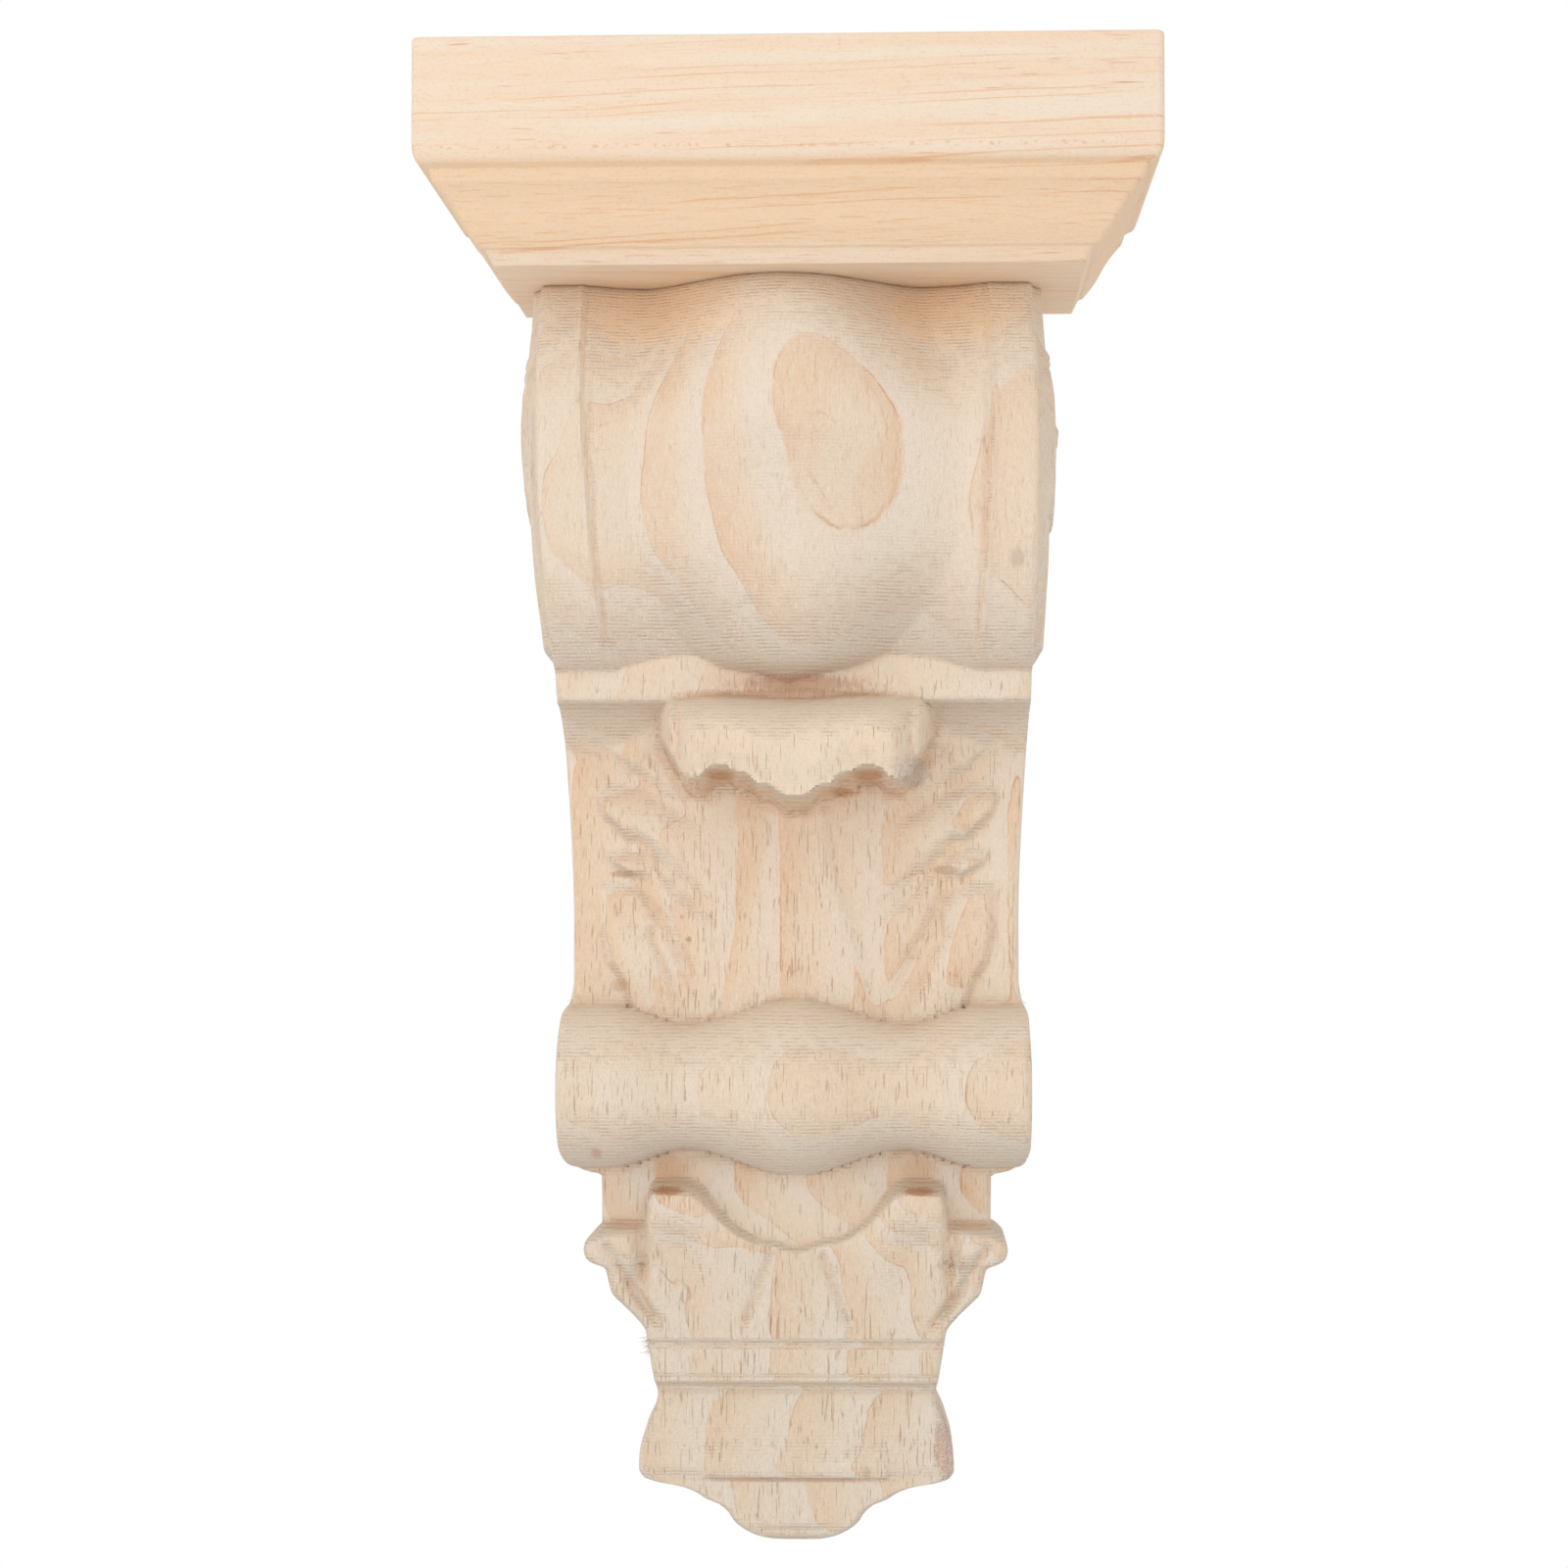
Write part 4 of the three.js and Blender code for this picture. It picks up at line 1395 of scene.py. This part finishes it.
    def rings(self, graph: Graph, wood: Surface):
        """Growth rings counted from the heart side, in turns.

        Args:
            graph: The node tree's writer.
            wood: The surface's own sockets.

        Returns:
            A socket whose whole numbers are the ring boundaries.
        """
        across, out, up, place = wood.across, wood.out, wood.up, wood.place
        ring = graph.math("MULTIPLY_ADD", across, self.ring_tilt, graph.math("MULTIPLY", out, -1.0))
        slow = graph.noise(graph.stretch(place, (1.0, 1.0, 0.35)), 0.045, 2.0)
        ring = graph.math("MULTIPLY_ADD", graph.math("SUBTRACT", slow, 0.5), self.ring_warp, ring)
        quick = graph.noise(graph.stretch(place, (1.0, 1.0, 0.45)), 0.4, 2.0)
        ring = graph.math("MULTIPLY_ADD", graph.math("SUBTRACT", quick, 0.5), self.ring_wiggle, ring)
        # The front has the figure of its forms, and the back rings that wander freely.
        front = graph.window(out, -5.0, -15.0)
        above = graph.math("MAXIMUM", graph.math("SUBTRACT", up, 60.0), 0.0)
        ring = graph.math("MULTIPLY_ADD", graph.times(above, front), self.ring_lean, ring)
        wander = graph.noise(graph.stretch(place, (1.0, 1.0, 0.22)), 0.035, 2.0)
        wander = graph.times(graph.math("SUBTRACT", wander, 0.5), graph.window(out, -15.0, -5.0))
        ring = graph.math("MULTIPLY_ADD", wander, self.ring_wander, ring)
        for amount, start, end in self.ring_bends:
            bend = graph.times(graph.window(up, start, end), front)
            ring = graph.math("MULTIPLY_ADD", bend, amount, ring)
        wide = graph.math("DIVIDE", graph.math("SUBTRACT", self.ring_first, ring), self.ring_wide)
        narrow = graph.math("DIVIDE", graph.math("SUBTRACT", self.ring_second, ring), self.ring_narrow)
        return graph.math("MAXIMUM", wide, graph.math("ADD", narrow, 2.0))

    def figure(self, graph: Graph, wood: Surface, turns, share):
        """Colour of the ring figure, calmed zone by zone, with thin late-wood lines.

        Args:
            graph: The node tree's writer.
            wood: The surface's own sockets.
            turns: Growth rings, as from rings().
            share: Place within a ring, from 0 to 1.

        Returns:
            The colour socket.
        """
        stops = [(0.0, self.deep), (0.02, self.white), (0.17, self.white), (0.33, self.cream)]
        colour = graph.ramp(share, stops + [(0.5, self.tan), (0.93, self.deep)])
        clouds = graph.noise(graph.stretch(wood.place, (1.0, 1.0, 0.5)), 0.07, 3.0)
        colour = graph.tint(colour, graph.times(graph.window(clouds, 0.42, 0.72), 0.75), self.cream)
        off_centre = graph.math("ABSOLUTE", wood.across)
        proud = graph.window(wood.out, -1.0, -9.0)
        for zone in self.zone_tints:
            part = zone.share
            for level in zone.levels:
                part = graph.times(part, graph.window(wood.up, *level))
            if zone.across:
                part = graph.times(part, graph.window(off_centre, *zone.across))
            if zone.front_only:
                part = graph.times(part, proud)
            colour = graph.tint(colour, part, zone.colour)
        patchy = graph.noise(graph.stretch(wood.place, (1.0, 1.0, 0.3)), 0.16, 2.0)
        line = graph.times(graph.window(share, 0.978, 0.996), graph.window(patchy, 0.4, 0.62))
        colour = graph.tint(colour, graph.times(line, wood.steep, 0.62), self.line)
        inner = graph.math("MULTIPLY_ADD", turns, 6.0, graph.math("MULTIPLY", patchy, 0.8))
        inner = graph.window(graph.math("FRACT", inner), 0.93, 0.99)
        inner = graph.times(inner, graph.window(share, 0.45, 0.6), graph.window(patchy, 0.5, 0.66))
        return graph.tint(colour, graph.times(inner, wood.steep, 0.3), self.line)

    def end_grain_and_shade(self, graph: Graph, wood: Surface, colour, fibre):
        """Tints slopes as end grain, greyer on downward-facing slopes and under the lobe as painted shade,
        then adds streaks, fine grain that also stands in for micro shade, and painted shade that darkens and
        cools the foot.

        Args:
            graph: The node tree's writer.
            wood: The surface's own sockets.
            colour: The colour so far.
            fibre: Streaky noise along the grain.

        Returns:
            The colour socket.
        """
        # Slopes take the tint of end grain; the downward-facing tint is greyer and darker, as painted shade.
        for low, high, part, target in ((0.12, 0.8, 0.6, self.end_up), (-0.12, -0.75, 0.6, self.end_grain_down_and_shade)):
            colour = graph.tint(colour, graph.times(graph.window(wood.facing, low, high), part), target)
        # Painted shade: the downward-facing slopes under the lobe greyed further.
        under_lobe_shade = graph.times(graph.window(wood.facing, -0.08, -0.55), graph.window(wood.up, 54.0, 60.0))
        colour = graph.tint(colour, graph.times(under_lobe_shade, 0.5), self.end_grain_down_and_shade)
        colour = graph.tint(colour, graph.times(graph.window(fibre, 0.56, 0.76), 0.4), self.streak_and_shade_brown)
        colour = graph.tint(colour, graph.times(graph.window(fibre, 0.47, 0.3), 0.7), self.white)
        # A fine darker speckle along the grain, standing in for the micro shade of the rough surface.
        grain = graph.noise(graph.stretch(wood.place, (3.2, 3.2, 1.5)), 1.0, 3.0, 0.65)
        colour = graph.mix(graph.window(grain, 0.5, 0.68), colour, (0.94, 0.92, 0.9, 1.0), "MULTIPLY")
        # Painted shade: the foot darker and cooler towards the bottom, where the light falls off.
        foot_shade = graph.times(graph.window(wood.up, -15.0, -60.0), 0.9)
        return graph.mix(foot_shade, colour, (0.9, 0.95, 0.99, 1.0), "MULTIPLY")

    def open_grain(self, graph: Graph, wood: Surface, colour, share):
        """Draws pores and hair cracks along the grain, densest in late wood.

        Args:
            graph: The node tree's writer.
            wood: The surface's own sockets.
            colour: The colour so far.
            share: Place within a ring, from 0 to 1.

        Returns:
            The colour socket, and sockets of the pores and of the hair cracks.
        """
        pores = graph.noise(graph.stretch(wood.place, (4.2, 0.9, 0.15)), 1.0, 0.0, 0.5, 0.15)
        patch = graph.noise(graph.stretch(wood.place, (1.0, 1.0, 0.4)), 0.15, 2.0)
        late = graph.math("MULTIPLY_ADD", graph.window(share, 0.2, 0.5), 0.5, 0.5)
        amount = graph.math("MULTIPLY_ADD", graph.window(wood.up, 62.0, 50.0), 0.6, 0.4)
        amount = graph.math("MAXIMUM", amount, graph.window(wood.out, -9.0, -1.0))
        dash = graph.times(graph.window(pores, 0.715, 0.78), graph.window(patch, 0.4, 0.6))
        dash = graph.times(dash, wood.steep, late, amount)
        colour = graph.tint(colour, graph.times(dash, 0.5), self.pore)
        sway = graph.noise(graph.stretch(wood.place, (1.4, 0.4, 0.11)), 1.0, 2.0)
        strand = graph.window(graph.math("ABSOLUTE", graph.math("SUBTRACT", sway, 0.5)), 0.04, 0.01)
        broken = graph.noise(graph.stretch(wood.place, (2.2, 0.9, 0.24)), 1.0, 1.0)
        hair = graph.times(strand, graph.window(broken, 0.57, 0.68), wood.steep, amount)
        return graph.tint(colour, graph.times(hair, 0.42), self.pore), dash, hair

    def cutter_marks_and_hollow_shade(self, graph: Graph, wood: Surface, colour):
        """Draws the level passes of the cutter on slopes and in hollows, and darkens hollows with a patchy
        brown as painted shade.

        Args:
            graph: The node tree's writer.
            wood: The surface's own sockets.
            colour: The colour so far.

        Returns:
            The colour socket, and a socket of the passes' height.
        """
        wobble = graph.noise(wood.place, 0.5, 2.0)
        passes = graph.math("MULTIPLY", wood.up, 2.0 * math.pi / self.pass_pitch)
        marks = graph.math("SINE", graph.math("MULTIPLY_ADD", wobble, 2.4, passes))
        cut = graph.window(graph.noise(graph.stretch(wood.place, (0.7, 1.0, 1.3)), 0.6, 3.0), 0.38, 0.62)
        worked = graph.times(cut, graph.math("MAXIMUM", wood.slope, graph.times(wood.hollow, 0.8)))
        veins = graph.times(wood.hollow, graph.window(wood.up, -4.0, 0.0), graph.window(wood.up, 45.0, 40.0))
        colour = graph.tint(colour, graph.times(veins, 0.5), self.tan)
        for low, high, part, target in ((0.1, 1.0, 0.2, self.pore), (-0.1, -1.0, 0.55, self.white)):
            colour = graph.tint(colour, graph.times(graph.window(marks, low, high), worked, part), target)
        # Painted shade: a patchy brown darkens the hollows and the band under the curled tip's lip.
        shade_patches = graph.window(graph.noise(wood.place, 0.35, 3.0), 0.25, 0.7)
        colour = graph.tint(colour, graph.times(wood.hollow, shade_patches, 0.26), self.streak_and_shade_brown)
        return colour, graph.times(marks, worked)

    def small_marks_and_painted_light(self, graph: Graph, wood: Surface, colour, fibre):
        """Adds the small marks and the small patches of painted shade and painted light on the front, with
        ragged edges, pitted where they are torn.

        Args:
            graph: The node tree's writer.
            wood: The surface's own sockets.
            colour: The colour so far.
            fibre: Streaky noise along the grain.

        Returns:
            The colour socket, and a socket of the pits' height.
        """
        pits = graph.window(graph.noise(wood.place, 1.7, 2.0, 0.6), 0.46, 0.6)
        rough = 0.0
        front = graph.window(wood.out, -11.0, -16.0)
        for mark in self.marks_and_painted_light:
            dx = graph.math("DIVIDE", graph.math("SUBTRACT", wood.across, mark.x), mark.wide)
            dz = graph.math("DIVIDE", graph.math("SUBTRACT", wood.up, mark.z), mark.tall)
            away = graph.math("SQRT", graph.math("ADD", graph.times(dx, dx), graph.times(dz, dz)))
            ragged = graph.math("MULTIPLY_ADD", graph.math("SUBTRACT", fibre, 0.5), 2.2, away)
            spot = graph.times(graph.window(ragged, 1.25, 0.6), front, mark.strength)
            colour = graph.tint(colour, spot, mark.colour)
            if mark.pitted:
                colour = graph.tint(colour, graph.times(spot, pits), self.white)
                rough = graph.math("MULTIPLY_ADD", spot, pits, rough)
        return colour, rough

    def build(self) -> bpy.types.Material:
        """Builds the finish.

        Returns:
            The material.
        """
        graph = Graph(bpy.data.materials.new("Carved pine"))
        wood = Surface.read(graph)
        turns = self.rings(graph, wood)
        share = graph.math("FRACT", turns)
        fibre = graph.noise(graph.stretch(wood.place, (3.6, 1.8, 0.55)), 1.0, 3.0, 0.6)
        colour = self.figure(graph, wood, turns, share)
        colour = self.end_grain_and_shade(graph, wood, colour, fibre)
        colour, dash, hair = self.open_grain(graph, wood, colour, share)
        colour, passes = self.cutter_marks_and_hollow_shade(graph, wood, colour)
        colour, rough = self.small_marks_and_painted_light(graph, wood, colour, fibre)
        fuzz = graph.noise(graph.stretch(wood.place, (3.0, 3.0, 1.1)), 1.0, 3.0, 0.75)
        height = graph.math("MULTIPLY_ADD", passes, 0.65, graph.math("MULTIPLY", fuzz, 3.0))
        height = graph.math("SUBTRACT", height, graph.math("ADD", dash, graph.times(hair, 0.8)))
        height = graph.math("MULTIPLY_ADD", rough, 3.0, height)
        graph.finish(colour, self.roughness, self.specular, graph.bump(height, 0.15, 0.9))
        return graph.material


@dataclass(frozen=True)
class SandedPine:
    """Bare sanded pine with straight level grain, as on the cap."""

    roughness: float = 0.64
    specular: float = 0.28
    ring_density: float = 0.3
    cove_top: float = 138.4
    pale: Colour = linear(238, 220, 199)
    mid: Colour = linear(238, 214, 189)
    tan: Colour = linear(240, 207, 172)
    line: Colour = linear(226, 170, 122)
    dark: Colour = linear(158, 112, 78)

    def build(self) -> bpy.types.Material:
        """Builds the finish.

        Returns:
            The material.
        """
        graph = Graph(bpy.data.materials.new("Sanded pine"))
        across, out, up, place = graph.position()
        drift = graph.noise(graph.stretch(place, (0.3, 1.0, 1.0)), 0.05, 2.0)
        waver = graph.noise(graph.stretch(place, (0.35, 1.0, 1.0)), 0.25, 2.0)
        level = graph.math("MULTIPLY_ADD", out, 0.34, graph.math("MULTIPLY_ADD", across, -0.03, up))
        level = graph.math("MULTIPLY_ADD", drift, 3.0, graph.math("MULTIPLY_ADD", waver, 0.5, level))
        soft = graph.noise(graph.stretch(place, (0.04, 0.6, 0.6)), 0.5, 2.0)
        colour = graph.ramp(soft, [(0.36, self.mid), (0.55, self.pale)])
        in_cove = graph.math("MULTIPLY_ADD", soft, 2.0, up)
        in_cove = graph.window(in_cove, self.cove_top + 1.6, self.cove_top)
        over_soffit = graph.math("MULTIPLY_ADD", graph.window(up, 123.5, 126.5), 0.6, 0.25)
        colour = graph.tint(colour, graph.times(in_cove, over_soffit), self.tan)
        rings = graph.tree.nodes.new("ShaderNodeCombineXYZ")
        graph.feed(rings, 2, level)
        ring = graph.noise(rings.outputs[0], self.ring_density, 1.0, 0.5)
        colour = graph.tint(colour, graph.times(graph.window(ring, 0.4, 0.52), 0.22), self.tan)
        along = graph.noise(graph.stretch(place, (0.2, 1.0, 1.0)), 0.14, 2.0)
        off_line = graph.math("ABSOLUTE", graph.math("SUBTRACT", ring, 0.53))
        line = graph.times(graph.window(off_line, 0.022, 0.006), graph.window(along, 0.42, 0.6))
        colour = graph.tint(colour, graph.times(line, 0.55), self.line)
        fibre = graph.noise(graph.stretch(place, (0.14, 3.0, 3.0)), 1.0, 3.0, 0.6)
        streak = graph.math("MULTIPLY_ADD", graph.window(up, 137.0, 134.0), 0.3, 0.22)
        colour = graph.tint(colour, graph.times(graph.window(fibre, 0.54, 0.72), streak), self.line)
        colour = graph.tint(colour, graph.times(graph.window(fibre, 0.45, 0.3), 0.4), self.pale)
        here = graph.window(graph.noise(graph.stretch(place, (0.5, 1.0, 1.6)), 0.1, 2.0), 0.46, 0.6)
        dashes = graph.noise(graph.stretch(place, (0.1, 2.6, 2.6)), 1.0, 1.0, 0.5)
        dash = graph.times(graph.window(dashes, 0.69, 0.77), here)
        colour = graph.tint(colour, graph.times(dash, 0.75), self.line)
        deep = graph.times(graph.window(dashes, 0.78, 0.82), here)
        colour = graph.tint(colour, graph.times(deep, 0.7), self.dark)
        seam = graph.times(graph.window(up, 139.5, 139.8), graph.window(up, 140.5, 140.1))
        specks = graph.noise(graph.stretch(place, (0.9, 1.0, 1.0)), 1.1, 2.0)
        colour = graph.tint(colour, graph.times(seam, graph.window(specks, 0.54, 0.64), 0.5), self.line)

        # A fine darker speckle along the grain, standing in for the micro shade of the sanded surface.
        grain = graph.noise(graph.stretch(place, (1.4, 2.6, 2.6)), 1.0, 3.0, 0.65)
        colour = graph.mix(graph.window(grain, 0.5, 0.7), colour, (0.93, 0.91, 0.89, 1.0), "MULTIPLY")
        ends = graph.window(graph.math("ABSOLUTE", across), 58.6, 60.4)
        ticks = graph.noise(graph.stretch(place, (1.2, 3.0, 3.0)), 0.8, 2.0)
        colour = graph.tint(colour, graph.times(ends, graph.window(ticks, 0.52, 0.62), 0.5), self.pale)
        fuzz = graph.noise(graph.stretch(place, (0.9, 3.2, 3.2)), 1.0, 4.0, 0.65)
        height = graph.math("SUBTRACT", fuzz, graph.times(dash, 0.7))
        graph.finish(colour, self.roughness, self.specular, graph.bump(height, 0.07, 0.7))
        return graph.material


# Studio


@dataclass
class Studio:
    """Plain pale floor, soft light, white surround and the camera of the photograph."""

    floor_z: float = -0.26
    floor_left: float = -0.8
    floor_right: float = 0.8
    floor_front: float = -0.9
    floor_back: float = 0.5
    floor_tone: float = 0.86
    world_light: float = 0.81
    aim: tuple[float, float, float] = (0.0, -0.03, 0.03)
    camera_at: tuple[float, float, float] = (0.018407, -0.594573, 0.017042)
    yaw: float = 2.034
    pitch: float = 1.817
    roll: float = -0.057
    lens: float = 74.25

    def floor(self) -> None:
        """Makes the floor under the bracket."""
        mesh = bpy.data.meshes.new("Floor")
        left, right, front, back = self.floor_left, self.floor_right, self.floor_front, self.floor_back
        outline = ((left, front), (right, front), (right, back), (left, back))
        mesh.from_pydata([(x, y, self.floor_z) for x, y in outline], [], [(0, 1, 2, 3)])
        piece = bpy.data.objects.new("Floor", mesh)
        bpy.context.scene.collection.objects.link(piece)
        finish = bpy.data.materials.new("Pale floor")
        finish.use_nodes = True
        shader = finish.node_tree.nodes["Principled BSDF"]
        shader.inputs[Socket.COLOUR.value].default_value = (*[self.floor_tone] * 3, 1.0)
        shader.inputs[Socket.ROUGHNESS.value].default_value = 0.9
        mesh.materials.append(finish)

    def world(self) -> None:
        """Makes the white surround, seen at full white and lighting at less."""
        world = bpy.data.worlds.new("Studio")
        bpy.context.scene.world = world
        world.use_nodes = True
        nodes, links = world.node_tree.nodes, world.node_tree.links
        nodes.clear()
        output = nodes.new("ShaderNodeOutputWorld")
        seen = nodes.new("ShaderNodeBackground")
        seen.inputs["Strength"].default_value = 1.0
        lit = nodes.new("ShaderNodeBackground")
        lit.inputs["Strength"].default_value = self.world_light
        path = nodes.new("ShaderNodeLightPath")
        mix = nodes.new("ShaderNodeMixShader")
        links.new(path.outputs["Is Camera Ray"], mix.inputs[0])
        links.new(lit.outputs[0], mix.inputs[1])
        links.new(seen.outputs[0], mix.inputs[2])
        links.new(mix.outputs[0], output.inputs[0])
        for background in (seen, lit):
            background.inputs["Color"].default_value = (1.0, 1.0, 1.0, 1.0)

    def lamp(self, name: str, place: tuple[float, float, float], size: float, power: float) -> None:
        """Makes one soft box that faces the bracket.

        Args:
            name: Name of the lamp.
            place: Where it stands, in metres.
            size: Side of the box in metres.
            power: Power in watts.
        """
        data = bpy.data.lights.new(name, "AREA")
        data.shape, data.size, data.energy = "SQUARE", size, power
        lamp = bpy.data.objects.new(name, data)
        lamp.location = place
        lamp.rotation_mode = "QUATERNION"
        lamp.rotation_quaternion = (Vector(self.aim) - Vector(place)).to_track_quat("-Z", "Y")
        bpy.context.scene.collection.objects.link(lamp)

    def camera(self) -> None:
        """Makes the camera of the photograph."""
        data = bpy.data.cameras.new("Camera")
        data.lens, data.sensor_width = self.lens, 36.0
        data.clip_start, data.clip_end = 0.01, 20.0
        camera = bpy.data.objects.new("Camera", data)
        yaw, pitch, roll = (math.radians(a) for a in (self.yaw, self.pitch, self.roll))
        turn = Matrix.Rotation(yaw, 4, "Z") @ Matrix.Rotation(0.5 * math.pi + pitch, 4, "X")
        turn = turn @ Matrix.Rotation(roll, 4, "Z")
        camera.matrix_world = Matrix.Translation(self.camera_at) @ turn
        bpy.context.scene.collection.objects.link(camera)
        bpy.context.scene.camera = camera

    def build(self) -> None:
        """Builds the studio."""
        self.floor()
        self.world()
        self.lamp("Key", (-0.16, -0.55, 0.74), 0.6, 0.7)
        self.lamp("Low", (0.1, -0.8, -0.2), 0.7, 1.5)
        self.lamp("Fill", (-0.7, -0.75, 0.2), 0.8, 1.4)
        self.camera()
        view = bpy.context.scene.view_settings
        view.view_transform = "Standard"
        view.look = "None"
        LOG.info("studio built")


def main() -> None:
    """Builds the bracket's pieces in order, then the studio round them."""
    logging.basicConfig(level=logging.INFO, format="%(name)s: %(message)s")
    body = CarvedBody().build()
    pine = CarvedPine().build()
    body.data.materials.append(pine)
    TornFibres(body).build(pine)
    TornFibres(
        body,
        name="Fibre_tufts",
        where=TUFT,
        density=1400000.0,
        least=0.1,
        shortest=0.7,
        longest=2.4,
        radius=0.09,
        lean=0.9,
        seed=5,
    ).build(pine)
    cap = Cap().build()
    cap.data.materials.append(SandedPine().build())
    Studio().build()


if __name__ == "__main__":
    main()
